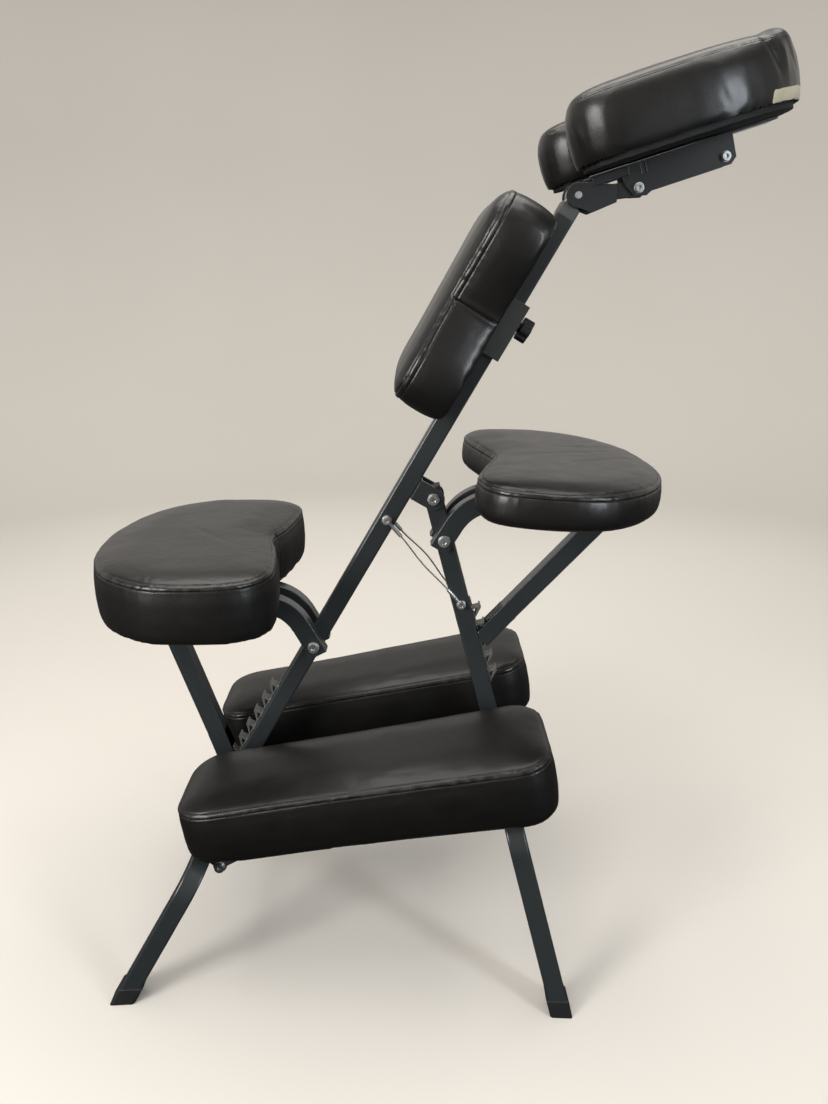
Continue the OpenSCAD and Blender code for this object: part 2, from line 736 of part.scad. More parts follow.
module knee_bracket(side) {
    flange = knee_rise - sheet_t;
    on_knee(side) {
        for (s = [-1, 1]) translate([0, s * (lug_t / 2 + soft_gap + sheet_t / 2), 0])
            across(sheet_t) difference() {
                union() {
                    circle(r = lug_r);
                    polygon([turned([lug_r / 2, 0], plate_high), turned([lug_r / 2, 0], plate_low),
                        [bracket_to - sheet_t, flange - sheet_t],
                        [bracket_to - sheet_t, flange + sheet_t / 2],
                        [bracket_from + sheet_t, flange + sheet_t / 2]]);
                }
                circle(d = bolt_d + 2 * fit);
            }
        translate([bracket_from, -bracket_w / 2, flange])
            cube([bracket_to - bracket_from, bracket_w, sheet_t]);
    }
}
module knee_board(side) {
    on_knee(side) translate([knee_ahead, 0, knee_rise]) board(knee_plan, board_t);
}
module knee_cushion(side) {
    on_knee(side) translate([knee_ahead, 0, knee_rise])
        cushion(knee_plan, (knee_side_low + knee_side_high) / 2, knee_crown, board_t + soft_gap,
            (knee_side_high - knee_side_low) / knee_length);
}
// Rubber block under the board that rests on the rear cross member
rear_cross_place = turned(strut_point(rear_run - rear_cross, 0) - knee_pivot, -knee_tilt);
lean = abs(90 - strut_angle - knee_tilt);
cross_support = (half_tube - tube_corner) * (cos(lean) + sin(lean)) + tube_corner;
rest_t = knee_rise - rear_cross_place[1] - cross_support - soft_gap;
module knee_rest(side) {
    on_knee(side) translate([rear_cross_place[0] - rest_side / 2, -rest_side / 2, knee_rise - rest_t])
        cube([rest_side, rest_side, rest_t]);
}
module knee_bracket_near() {
    color("darkslategray") knee_bracket(near);
}
module knee_bracket_far() {
    color("darkslategray") knee_bracket(far);
}
module knee_board_near() {
    color("burlywood") knee_board(near);
}
module knee_board_far() {
    color("burlywood") knee_board(far);
}
module knee_cushion_near() {
    color("#2a2422") knee_cushion(near);
}
module knee_cushion_far() {
    color("#2a2422") knee_cushion(far);
}
module knee_rest_near() {
    color("black") knee_rest(near);
}
module knee_rest_far() {
    color("black") knee_rest(far);
}

// Chest pad on its sleeve
sleeve_gap = 0.4;
flange_t = 2;
flange_w = 70;
flange_l = 140;
sleeve_front = half_tube + sleeve_gap;
chest_back = sleeve_front + soft_gap / 2;
board_back = sleeve_front + flange_t;
knob_place = 11;
knob_stud_d = 8;
knob_neck = 4;
knob_lobes = 6;
module chest_sleeve() {
    hole = tube + 2 * sleeve_gap;
    color("gray") on_post(chest_along) difference() {
        union() {
            translate([-sleeve_length / 2, -sleeve_width / 2, -sleeve_width / 2])
                cube([sleeve_length, sleeve_width, sleeve_width / 2 + sleeve_front]);
            translate([-flange_l / 2, -flange_w / 2, sleeve_front]) cube([flange_l, flange_w, flange_t]);
        }
        translate([-sleeve_length, -hole / 2, -hole / 2]) cube([2 * sleeve_length, hole, hole]);
        translate([knob_place, 0, -sleeve_width])
            cylinder(d = knob_stud_d + 2 * fit, h = sleeve_width);
    }
}
module chest_board() {
    color("burlywood") on_post(chest_along, board_back) board(chest_plan, thin_board_t);
}
module chest_cushion() {
    color("#2a2422") on_post(chest_along, chest_back)
        cushion(chest_plan, chest_side, chest_crown, board_back - chest_back + thin_board_t + soft_gap);
}
module chest_knob() {
    face = sleeve_width / 2 + knob_neck;
    color("black") on_post(chest_along + knob_place) rotate([180, 0, 0]) {
        translate([0, 0, face]) linear_extrude(knob_t) difference() {
            circle(d = knob_d);
            for (i = [0 : knob_lobes - 1]) rotate(i * 360 / knob_lobes)
                translate([0.57 * knob_d, 0]) circle(d = 0.28 * knob_d);
        }
        translate([0, 0, half_tube + fit]) cylinder(d = knob_stud_d, h = face - half_tube);
        translate([0, 0, sleeve_width / 2 + soft_gap])
            cylinder(d = 1.5 * knob_stud_d, h = knob_neck);
    }
}

// Face cradle: stem in the post, arms, cam lever and the channel that carries the crescent
collar_t = 14;
collar_plug = 40;
stem_gap = 0.3;
stem_below = 120;
guide_l = 16;
eye_r = 12;
eye_w = 18;
arm_t = 3;
arm_h = 16;
module post_collar() {
    plug = tube_bore - fit;
    hole = stem_width + 2 * stem_gap;
    color("lightgray") on_post() difference() {
        union() {
            translate([post_top, 0, 0]) rotate([90, 0, 90])
                linear_extrude(collar_t) section(tube, tube, tube_corner);
            translate([post_top - collar_plug, 0, 0]) rotate([90, 0, 90])
                linear_extrude(collar_plug) section(plug, plug, bore_corner);
        }
        translate([post_top - 2 * collar_plug, -hole / 2, -hole / 2])
            cube([4 * collar_plug, hole, hole]);
    }
}
stem_low = post_top - stem_below;
module cradle_stem() {
    wall = 2;
    color("silver") on_post() difference() {
        union() {
            translate([stem_low, -stem_width / 2, -stem_width / 2])
                cube([cradle_pivot_along - stem_low, stem_width, stem_width]);
            translate([cradle_pivot_along, 0, 0]) pin(2 * eye_r, eye_w);
        }
        translate([stem_low - over, wall - stem_width / 2, wall - stem_width / 2])
            cube([stem_below, stem_width - 2 * wall, stem_width - 2 * wall]);
        translate([cradle_pivot_along, 0, 0]) pin(bolt_d + 2 * fit, 2 * eye_w);
    }
}
module stem_guide() {
    guide = tube_bore - 2 * stem_gap;
    color("white") on_post(stem_low - guide_l) rotate([90, 0, 90])
        linear_extrude(guide_l) section(guide, guide, bore_corner);
}
arm_y = eye_w / 2 + soft_gap + arm_t / 2;
module on_cradle_arm() {
    at(cradle_pivot) rotate([0, -cradle_arm_angle, 0]) children();
}
module cradle_arms() {
    color("darkslategray") on_cradle_arm() for (side = [near, far])
        translate([0, side * arm_y, 0]) across(arm_t) difference() {
            union() {
                for (x = [0, cradle_arm]) translate([x, 0]) circle(d = arm_h);
                translate([0, -arm_h / 2]) square([cradle_arm, arm_h]);
            }
            circle(d = bolt_d + 2 * fit);
            translate([cradle_arm, 0]) circle(d = small_bolt_d + 2 * fit);
        }
}
module cradle_arm_bolt() {
    color("silver") at(cradle_pivot) pin(bolt_d, 2 * lever_y);
}
lever_t = 4;
lever_y = arm_y + arm_t / 2 + soft_gap + lever_t;
lever_r = 14;
lever_l = 44;
lever_web = 4;
lever_heel = 21;
lever_tip = 12.5;
module cam_lever() {
    color("black") on_cradle_arm() {
        for (side = [near, far]) translate([0, side * (lever_y - lever_t / 2), 0])
            across(lever_t) difference() {
                union() {
                    circle(r = lever_r);
                    polygon([[0, lever_r], [lever_l, lever_r / 2], [lever_l, -lever_tip],
                        [lever_r, -lever_heel], [0, -lever_r]]);
                }
                circle(d = bolt_d + 2 * fit);
            }
        low = (lever_tip + lever_heel) / 2;
        across(2 * lever_y) polygon([[lever_l / 2, -low], [lever_l, -lever_tip],
            [lever_l, lever_web - lever_tip], [lever_l / 2, lever_web - low]]);
    }
}
side_y = lever_y - lever_t / 2;
side_back = 15;
side_front = 12;
side_low = 7;
bolt_lift = 3.5;
channel_top = 28;
cradle_bolt_places = [[0, 0], [cradle_bolt_gap, bolt_lift]];
module on_cradle() {
    at(cradle_bolt) rotate([0, -cradle_tilt, 0]) children();
}
module cradle_channel() {
    long = cradle_bolt_gap + side_front;
    color("darkslategray") on_cradle() {
        for (side = [near, far]) translate([0, side * side_y, 0]) across(arm_t) difference() {
            polygon([[-side_back, channel_top], [-side_back, side_low], [-side_low, -side_low],
                [side_low, -side_low - side_low / 2], [2 * side_low, -side_low],
                [long - side_low, bolt_lift - 1.4 * side_low], [long, bolt_lift - side_low / 2],
                [long, channel_top]]);
            for (p = cradle_bolt_places) translate(p) circle(d = small_bolt_d + 2 * fit);
        }
        translate([-side_back, -side_y - arm_t / 2, channel_top - arm_t])
            cube([long + side_back + face_hole / 2, 2 * side_y + arm_t, arm_t]);
    }
}
module cradle_bolts() {
    color("silver") on_cradle() for (p = cradle_bolt_places) at(p)
        cross_bolt(small_bolt_d, 2 * side_y + arm_t);
}
module cradle_board() {
    color("#333333") on_cradle() translate([0, 0, channel_top]) board(face_plan, thin_board_t);
}
module cradle_cushion() {
    color("#2a2422") on_cradle() translate([0, 0, channel_top + thin_board_t + soft_gap])
        cushion(face_plan, face_side, face_crown, over);
}

main_post();
front_legs();
front_foot_caps();
hinge_bracket();
hinge_bolt();
seat_rack();
seat_pivot_bolt();
knee_lugs();
knee_pivot_bolts();
post_collar();
upper_cable_ends();
stay_cables();
rear_post();
rear_post_plug();
rear_legs();
rear_foot_caps();
armrest_rack();
armrest_pivot_bolt();
lower_cable_ends();
seat_arms();
seat_strut_hinge_bolt();
seat_board();
seat_cushion();
seat_strut();
armrest_arms();
armrest_strut_hinge_bolt();
armrest_board();
armrest_cushion();
armrest_strut();
knee_bracket_near();
knee_board_near();
knee_cushion_near();
knee_rest_near();
knee_bracket_far();
knee_board_far();
knee_cushion_far();
knee_rest_far();
chest_sleeve();
chest_board();
chest_cushion();
chest_knob();
cradle_stem();
stem_guide();
cradle_arms();
cradle_arm_bolt();
cam_lever();
cradle_channel();
cradle_bolts();
cradle_board();
cradle_cushion();
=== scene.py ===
"""Folding massage chair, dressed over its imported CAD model.

Pads, tubes, fasteners and the small steelwork are built in the chair's own frames,
in millimetres, and placed in the row frame, in metres.
"""

import json
import logging
import math
from dataclasses import dataclass, field, replace
from enum import Enum
from typing import Callable, Iterable, Sequence

import bmesh
import bpy
import numpy as np
from mathutils import Matrix, Vector, noise


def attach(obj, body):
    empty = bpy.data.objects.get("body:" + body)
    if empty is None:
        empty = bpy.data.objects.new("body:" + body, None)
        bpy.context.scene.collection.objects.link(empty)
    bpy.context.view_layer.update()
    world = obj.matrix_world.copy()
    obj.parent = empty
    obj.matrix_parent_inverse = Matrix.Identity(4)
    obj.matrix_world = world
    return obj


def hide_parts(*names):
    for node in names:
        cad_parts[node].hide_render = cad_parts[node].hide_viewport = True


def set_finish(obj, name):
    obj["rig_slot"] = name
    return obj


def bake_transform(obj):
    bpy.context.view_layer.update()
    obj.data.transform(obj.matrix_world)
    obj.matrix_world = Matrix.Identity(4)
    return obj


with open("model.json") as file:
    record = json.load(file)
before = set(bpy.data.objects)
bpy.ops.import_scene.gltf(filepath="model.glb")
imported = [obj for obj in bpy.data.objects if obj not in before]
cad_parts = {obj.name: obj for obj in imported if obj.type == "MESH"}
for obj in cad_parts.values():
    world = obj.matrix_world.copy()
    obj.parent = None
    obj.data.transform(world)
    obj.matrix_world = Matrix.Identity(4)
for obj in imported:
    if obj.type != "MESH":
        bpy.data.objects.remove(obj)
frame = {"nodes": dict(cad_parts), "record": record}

log = logging.getLogger("chair")
MM = 0.001
TO_METRES = Matrix.Diagonal((MM, MM, MM, 1.0))
TO_MM = Matrix.Diagonal((1 / MM, 1 / MM, 1 / MM, 1.0))
Colour = tuple[float, float, float]
Place = tuple[float, float, float]
Number = float | int


class Side(Enum):
    """Which side of the chair's middle plane a piece stands on."""

    NEAR = -1
    FAR = 1


# Shader maths


class Socket:
    """An output socket that adds Math nodes when it is used in arithmetic."""

    def __init__(self, graph: "Graph", socket: bpy.types.NodeSocket) -> None:
        """Wraps one output socket of a graph's node."""
        self.graph = graph
        self.socket = socket

    def _math(self, operation: str, *terms: "Socket | Number") -> "Socket":
        """Adds one Math node.

        Args:
            operation: The node's operation.
            terms: Its inputs in order.

        Returns:
            The node's output.
        """
        return self.graph.node(
            "ShaderNodeMath", {"operation": operation}, dict(enumerate(terms))
        )

    def __add__(self, other: "Socket | Number") -> "Socket":
        """Sum."""
        return self._math("ADD", self, other)

    def __radd__(self, other: Number) -> "Socket":
        """Sum, the other way round."""
        return self._math("ADD", other, self)

    def __sub__(self, other: "Socket | Number") -> "Socket":
        """Difference."""
        return self._math("SUBTRACT", self, other)

    def __rsub__(self, other: Number) -> "Socket":
        """Difference, the other way round."""
        return self._math("SUBTRACT", other, self)

    def __mul__(self, other: "Socket | Number") -> "Socket":
        """Product."""
        return self._math("MULTIPLY", self, other)

    def __rmul__(self, other: Number) -> "Socket":
        """Product, the other way round."""
        return self._math("MULTIPLY", other, self)

    def ramp(self, low: Number, high: Number, start: Number = 0.0, end: Number = 1.0) -> "Socket":
        """Maps low..high smoothly to start..end, and holds it there outside."""
        return self.graph.node(
            "ShaderNodeMapRange",
            {"interpolation_type": "SMOOTHSTEP", "clamp": True},
            {"Value": self, "From Min": low, "From Max": high, "To Min": start, "To Max": end},
        )


class Graph:
    """A material's node tree with one Principled shader at its end."""

    def __init__(self, name: str) -> None:
        """Makes an empty material and its shader.

        Args:
            name: The material's name.
        """
        self.material = bpy.data.materials.new(name)
        self.material.use_nodes = True
        self.tree = self.material.node_tree
        self.tree.nodes.clear()
        self.shader = self.tree.nodes.new("ShaderNodeBsdfPrincipled")
        output = self.tree.nodes.new("ShaderNodeOutputMaterial")
        self.tree.links.new(self.shader.outputs[0], output.inputs["Surface"])
        self._place: Socket | None = None

    def node(
        self,
        kind: str,
        settings: dict[str, object] | None = None,
        inputs: dict[str | int, object] | None = None,
        output: str | int = 0,
    ) -> Socket:
        """Adds any node.

        Args:
            kind: The node's type.
            settings: Its properties, which are set first.
            inputs: Values or links of its sockets, by name or number.
            output: The output that is wanted.

        Returns:
            That output.
        """
        made = self.tree.nodes.new(kind)
        for key, value in (settings or {}).items():
            setattr(made, key, value)
        for key, value in (inputs or {}).items():
            self.feed(made.inputs[key], value)
        return Socket(self, made.outputs[output])

    def feed(self, socket: bpy.types.NodeSocket, value: object) -> None:
        """Links or sets one input socket."""
        if isinstance(value, Socket):
            self.tree.links.new(value.socket, socket)
        elif isinstance(value, tuple) and socket.type == "RGBA":
            socket.default_value = (*value, 1.0)
        else:
            socket.default_value = value

    def put(self, **values: object) -> None:
        """Sets or links the shader's own sockets; an underscore stands for a space."""
        for key, value in values.items():
            self.feed(self.shader.inputs[key.replace("_", " ")], value)

    def place(self) -> Socket:
        """The surface's own coordinates."""
        if self._place is None:
            self._place = self.node("ShaderNodeTexCoord", output="Object")
        return self._place

    def stretched(self, scale: Place) -> Socket:
        """Object coordinates, scaled by a Mapping node."""
        return self.node("ShaderNodeMapping", {}, {"Vector": self.place(), "Scale": scale})

    def noise(
        self, scale: float, detail: float = 2.0, rough: float = 0.5, vector: Socket | None = None
    ) -> Socket:
        """Fractal noise from 0 to 1 in the surface's own coordinates."""
        return self.node(
            "ShaderNodeTexNoise",
            {"noise_dimensions": "3D"},
            {
                "Vector": vector or self.place(),
                "Scale": scale,
                "Detail": detail,
                "Roughness": rough,
            },
            "Fac",
        )

    def cells(self, scale: float, feature: str = "F1", vector: Socket | None = None) -> Socket:
        """Distance to the nearest of a field of cells."""
        return self.node(
            "ShaderNodeTexVoronoi",
            {"feature": feature},
            {"Vector": vector or self.place(), "Scale": scale},
            "Distance",
        )

    def attribute(self, name: str) -> Socket:
        """A number kept on the mesh."""
        return self.node(
            "ShaderNodeAttribute", {"attribute_name": name, "attribute_type": "GEOMETRY"}, {}, "Fac"
        )

    def mix(self, share: Socket | Number, a: Socket | Colour, b: Socket | Colour) -> Socket:
        """Mixes two colours."""
        made = self.tree.nodes.new("ShaderNodeMix")
        made.data_type = "RGBA"
        self.feed(made.inputs["Factor"], share)
        self.feed(made.inputs[6], a)
        self.feed(made.inputs[7], b)
        return Socket(self, made.outputs[2])

    def bump(
        self, height: Socket, distance: float, strength: float = 1.0, under: Socket | None = None
    ) -> Socket:
        """A bump of that height in metres, over another normal where one is given."""
        inputs: dict[str | int, object] = {
            "Height": height,
            "Distance": distance,
            "Strength": strength,
        }
        if under:
            inputs["Normal"] = under
        return self.node("ShaderNodeBump", {}, inputs, "Normal")

    def soft_edges(self, radius: float) -> Socket:
        """The surface normal with its hard edges rounded by a radius in metres."""
        return self.node("ShaderNodeBevel", {"samples": 6}, {"Radius": radius}, "Normal")

    def edges(self, radius: float) -> Socket:
        """1 along the hard edges and 0 on the faces, from how far the rounded normal turns."""
        flat = self.node("ShaderNodeNewGeometry", output="True Normal")
        turned = self.node(
            "ShaderNodeVectorMath",
            {"operation": "DOT_PRODUCT"},
            {0: self.soft_edges(radius), 1: flat},
            "Value",
        )
        return (1.0 - turned).ramp(0.004, 0.09)


# Finishes


@dataclass(frozen=True)
class Finish:
    """A surface finish; each kind builds its own node tree."""

    slot: str

    def build(self, graph: Graph) -> None:
        """Fills the graph."""
        raise NotImplementedError

    def material(self, suffix: str = "") -> bpy.types.Material:
        """The finish as a Blender material, made once for each name."""
        name = self.slot + suffix
        found = bpy.data.materials.get(name)
        if found is None or not found.get("chair_finish"):
            graph = Graph(name)
            self.build(graph)
            found = graph.material
            found["chair_finish"] = True
        return found


@dataclass(frozen=True)
class Leatherette(Finish):
    """Coated cover cloth: pressed grain, soft sheen, paler rubbed seams."""

    colour: Colour = (0.0074, 0.0071, 0.0068)
    warm: Colour = (0.0115, 0.0092, 0.0081)
    rubbed: Colour = (0.03, 0.027, 0.025)
    sheen: float = 0.27
    torn: bool = False

    def build(self, graph: Graph) -> None:
        """Fills the graph."""
        broad = graph.noise(5.5, 3)
        fine = graph.noise(46, 4, 0.6)
        pores = graph.cells(760, "SMOOTH_F1")
        creases = graph.noise(160, 5, 0.65)
        band = graph.attribute("band")
        handled = graph.noise(2.4, 2).ramp(0.55, 0.8) * 0.12
        rub = (band * graph.noise(95, 3).ramp(0.35, 0.75)) + handled
        colour = graph.mix(rub.ramp(0.0, 1.0), self.colour, self.rubbed)
        colour = graph.mix(broad.ramp(0.35, 0.75, 0.0, 0.4), colour, self.warm)
        rough = fine * 0.13 + broad * 0.08 - band * 0.05 + self.sheen
        grain = pores * 0.55 + creases * 0.6 + fine * 1.1
        normal = graph.bump(grain, 0.00022, 0.55)
        if self.torn:
            bare = graph.attribute("bare")
            edge = (bare + graph.noise(240, 3) * 0.5 - 0.25).ramp(0.42, 0.5)
            weave = graph.noise(900, 2, vector=graph.stretched((1.0, 3.0, 3.0)))
            soiled = weave * 0.6 + graph.noise(70, 3) * 0.6
            lining = graph.mix(soiled, (0.4, 0.36, 0.25), (0.62, 0.57, 0.42))
            colour = graph.mix(edge, colour, lining)
            rough = rough + edge * 0.45
        graph.put(
            Base_Color=colour,
            Roughness=rough,
            Normal=normal,
            Specular_IOR_Level=0.5,
            Coat_Weight=0.18,
            Coat_Roughness=0.2,
        )


@dataclass(frozen=True)
class Thread(Finish):
    """Twisted sewing thread."""

    colour: Colour = (0.012, 0.011, 0.011)

    def build(self, graph: Graph) -> None:
        """Fills the graph."""
        fuzz = graph.noise(2200, 2)
        graph.put(
            Base_Color=graph.mix(fuzz, self.colour, (0.045, 0.04, 0.038)),
            Roughness=fuzz * 0.2 + 0.5,
            Normal=graph.bump(fuzz, 0.0001, 0.5),
            Sheen_Weight=0.2,
        )


@dataclass(frozen=True)
class PowderCoat(Finish):
    """Powder coat with orange peel, dust and edges rubbed to the steel, whose pale edges also paint
    in a highlight.
    """

    colour: Colour = (0.02, 0.0235, 0.025)
    # edge: colour of the rubbed edges, which also paints in a highlight along them
    edge: Colour = (0.16, 0.165, 0.16)
    rough: float = 0.3

    def build(self, graph: Graph) -> None:
        """Fills the graph."""
        peel = graph.noise(620, 2)
        fine = graph.noise(1500, 2)
        cloud = graph.noise(7, 4, 0.6)
        scuff = graph.noise(34, 6, 0.72, graph.stretched((1.0, 2.2, 0.55)))
        # Pale edges: rubbed paint, and a painted highlight where the rounded edges would catch the
        # light.
        edge_wear_and_highlight = graph.edges(0.0012) * graph.noise(120, 4).ramp(0.3, 0.6, 0.25, 1.0)
        marks = scuff.ramp(0.66, 0.72) * 0.5
        dusty = tuple(1.5 * c for c in self.colour)
        scratched = tuple(2.6 * c for c in self.colour)
        colour = graph.mix(cloud.ramp(0.3, 0.7, 0.0, 0.45), self.colour, dusty)
        colour = graph.mix(marks * 0.4, colour, scratched)
        colour = graph.mix(edge_wear_and_highlight * 0.6, colour, self.edge)
        graph.put(
            Base_Color=colour,
            Roughness=self.rough + cloud * 0.1 + marks * 0.12 - edge_wear_and_highlight * 0.05,
            Metallic=edge_wear_and_highlight * 0.5,
            Normal=graph.bump(peel * 0.8 + fine * 0.25, 0.00014, 0.5, graph.soft_edges(0.0007)),
            Specular_IOR_Level=0.6,
            Coat_Weight=0.45,
            Coat_Roughness=0.13,
        )


@dataclass(frozen=True)
class Steel(Finish):
    """Plated or brushed steel with fine scratches and dull patches."""

    colour: Colour = (0.74, 0.75, 0.74)
    rough: float = 0.34

    def build(self, graph: Graph) -> None:
        """Fills the graph."""
        brushed = graph.noise(420, 4, 0.7, graph.stretched((0.25, 3.0, 0.25)))
        dull = graph.noise(60, 3).ramp(0.4, 0.7)
        spots = graph.noise(520, 2).ramp(0.62, 0.75)
        colour = graph.mix(dull * 0.4, self.colour, tuple(0.62 * c for c in self.colour))
        colour = graph.mix(spots * 0.35, colour, tuple(0.4 * c for c in self.colour))
        graph.put(
            Base_Color=colour,
            Roughness=self.rough + brushed * 0.16 + dull * 0.1,
            Metallic=1.0,
            Normal=graph.bump(brushed, 0.00004, 0.4, graph.soft_edges(0.0004)),
        )


@dataclass(frozen=True)
class Moulded(Finish):
    """Moulded plastic or rubber with a spark-eroded texture."""

    colour: Colour = (0.02, 0.02, 0.02)
    rough: float = 0.45
    texture: float = 1.0

    def build(self, graph: Graph) -> None:
        """Fills the graph."""
        stipple = graph.noise(1700, 3, 0.7)
        cloud = graph.noise(18, 3)
        rub = graph.edges(0.0009) * graph.noise(160, 3).ramp(0.35, 0.65, 0.2, 1.0)
        dusty = tuple(1.4 * c + 0.004 for c in self.colour)
        rubbed = tuple(0.6 * c + 0.09 for c in self.colour)
        colour = graph.mix(cloud.ramp(0.35, 0.7, 0.0, 0.5), self.colour, dusty)
        colour = graph.mix(rub * 0.5, colour, rubbed)
        graph.put(
            Base_Color=colour,
            Roughness=self.rough + stipple * 0.15 + cloud * 0.08,
            Normal=graph.bump(stipple, 0.00008 * self.texture, 0.5, graph.soft_edges(0.0005)),
            Specular_IOR_Level=0.45,
        )


@dataclass(frozen=True)
class Plywood(Finish):
    """Dark stained plywood: long grain on its faces, laminations at its edges."""

    colour: Colour = (0.032, 0.026, 0.02)
    dark: Colour = (0.018, 0.014, 0.011)

    def build(self, graph: Graph) -> None:
        """Fills the graph."""
        grain = graph.noise(26, 6, 0.62, graph.stretched((0.7, 7.0, 7.0)))
        layers = graph.noise(1.0, 0, vector=graph.stretched((0.5, 0.5, 420.0)))
        fibre = graph.noise(900, 2, vector=graph.stretched((0.12, 1.0, 1.0)))
        share = (grain * 0.8 + layers * 0.35).ramp(0.35, 0.85)
        graph.put(
            Base_Color=graph.mix(share, self.colour, self.dark),
            Roughness=0.62 + fibre * 0.2,
            Normal=graph.bump(grain + fibre * 0.4, 0.0002, 0.5),
        )


LEATHER = Leatherette("leatherette")
# A darker copy of the same leatherette for the knee pads: painted shade, for the less light that
# reaches the low pads.
SHADED_KNEE_LEATHER = replace(
    LEATHER, colour=(0.0045, 0.0042, 0.0039), warm=(0.006, 0.005, 0.0045), sheen=0.34
)
FINISHES: dict[str, Finish] = {
    "frame_paint": PowderCoat("frame_paint"),
    "light_grey_paint": PowderCoat("light_grey_paint", (0.04, 0.04, 0.039), (0.2, 0.2, 0.19), 0.4),
    "grey_steel": PowderCoat("grey_steel", (0.075, 0.078, 0.072), (0.3, 0.3, 0.28), 0.34),
    "zinc_steel": Steel("zinc_steel"),
    "bright_steel": Steel("bright_steel", (0.5, 0.51, 0.52), 0.3),
    "cable_steel": Steel("cable_steel", (0.5, 0.46, 0.38), 0.42),
    "black_plastic": Moulded("black_plastic", (0.014, 0.0145, 0.015), 0.36),
    "grey_plastic": Moulded("grey_plastic", (0.07, 0.072, 0.07), 0.4),
    "white_nylon": Moulded("white_nylon", (0.68, 0.67, 0.63), 0.4),
    "plywood": Plywood("plywood"),
    "dark_board": Plywood("dark_board", (0.011, 0.011, 0.011), (0.006, 0.006, 0.0065)),
    "rubber": Moulded("rubber", (0.018, 0.018, 0.018), 0.6, 1.6),
    "leatherette": LEATHER,
}
DARK_PAINT = PowderCoat("frame_paint", (0.011, 0.0128, 0.0135), (0.1, 0.105, 0.1), 0.34)


# Frames of the chair


@dataclass(frozen=True)
class Line:
    """A line in the chair's middle plane: x along it, y across the chair, z out of its face."""

    x: float
    z: float
    angle: float

    def matrix(self, along: float = 0.0, across: float = 0.0, out: float = 0.0) -> Matrix:
        """Places millimetres in this frame in the row frame, in metres."""
        return (
            Matrix.Translation((self.x * MM, 0.0, self.z * MM))
            @ Matrix.Rotation(-math.radians(self.angle), 4, "Y")
            @ TO_METRES
            @ Matrix.Translation((along, across, out))
        )

    def point(self, along: float, out: float = 0.0) -> tuple[float, float]:
        """A point of the line's frame as (x, z) in mm."""
        a = math.radians(self.angle)
        return (
            self.x + along * math.cos(a) - out * math.sin(a),
            self.z + along * math.sin(a) + out * math.cos(a),
        )

    def from_point(self, along: float, out: float, angle: float) -> "Line":
        """Another line that starts at a point of this one."""
        return Line(*self.point(along, out), angle)


POST = Line(-388.0, 0.0, 60.0)
REAR = POST.from_point(742.0, -38.7, -75.4)
SEAT_PIVOT = POST.from_point(486.0, 0.0, 0.0)
ARM_PIVOT = REAR.from_point(54.0, 0.0, -3.0)
KNEE = POST.from_point(195.0, -28.0, 9.5)
CRADLE_PIVOT = POST.from_point(1140.0, 0.0, 6.4)
CRADLE = CRADLE_PIVOT.from_point(69.8, 0.0, 17.0)
TUBE = 24.0


# Making pieces


def new_object(
    name: str, bm: bmesh.types.BMesh, material: bpy.types.Material | None = None
) -> bpy.types.Object:
    """Puts a mesh in the scene as an object; one with a material is shaded smooth.

    Args:
        name: The object's and its mesh's name.
        bm: Its mesh in metres, which is freed.
        material: Its material.

    Returns:
        The object.
    """
    mesh = bpy.data.meshes.new(name)
    for face in bm.faces:
        face.smooth = material is not None
    bm.to_mesh(mesh)
    bm.free()
    if material is not None:
        mesh.materials.append(material)
    made = bpy.data.objects.new(name, mesh)
    bpy.context.scene.collection.objects.link(made)
    return made


def keep_modified(piece: bpy.types.Object) -> None:
    """Replaces an object's mesh by what its modifiers make of it, and drops them."""
    graph = bpy.context.evaluated_depsgraph_get()
    made = bpy.data.meshes.new_from_object(piece.evaluated_get(graph))
    piece.modifiers.clear()
    old, piece.data = piece.data, made
    bpy.data.meshes.remove(old)
    made.name = piece.name


def even_shading(piece: bpy.types.Object) -> None:
    """Lets the large faces lead the shading, so that flat sides look flat beside rounded edges.

    Args:
        piece: The piece, whose mesh takes on the normals.
    """
    weights = piece.modifiers.new("even_shading", "WEIGHTED_NORMAL")
    weights.keep_sharp = True
    weights.weight = 80
    keep_modified(piece)


def finish_piece(
    name: str,
    bm: bmesh.types.BMesh,
    body: str,
    finish: Finish,
    replaces: Sequence[str] = (),
    sharp: float = 32.0,
    suffix: str = "",
    even: bool = False,
) -> bpy.types.Object:
    """Turns a mesh in metres, in the row frame, into a finished piece.

    Args:
        name: The piece's name.
        bm: Its mesh, which is freed.
        body: The CAD body that it rides on.
        finish: Its surface finish.
        replaces: CAD nodes that it stands for.
        sharp: Angle in degrees past which an edge is sharp.
        suffix: Added to the finish's name for a variant of its own.
        even: Whether its flat sides lead the shading.

    Returns:
        The piece's object.
    """
    piece = new_object(name, bm, finish.material(suffix))
    piece.data.set_sharp_from_angle(angle=math.radians(sharp))
    if even:
        even_shading(piece)
    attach(piece, body)
    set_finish(piece, finish.slot)
    if replaces:
        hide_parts(*replaces)
    log.info("%s: %d faces on %s", name, len(piece.data.polygons), body)
    return piece


def copy_of_node(node: str, place: Matrix | None = None) -> bmesh.types.BMesh:
    """A merged copy of a CAD node's mesh, in a frame's own millimetres.

    Args:
        node: The CAD node.
        place: The frame; the row frame in millimetres where none is given.

    Returns:
        The copy, with its flat faces joined.
    """
    bm = bmesh.new()
    bm.from_mesh(frame["nodes"][node].data)
    bm.transform((place or TO_METRES).inverted())
    bmesh.ops.remove_doubles(bm, verts=bm.verts, dist=0.003)
    return bm


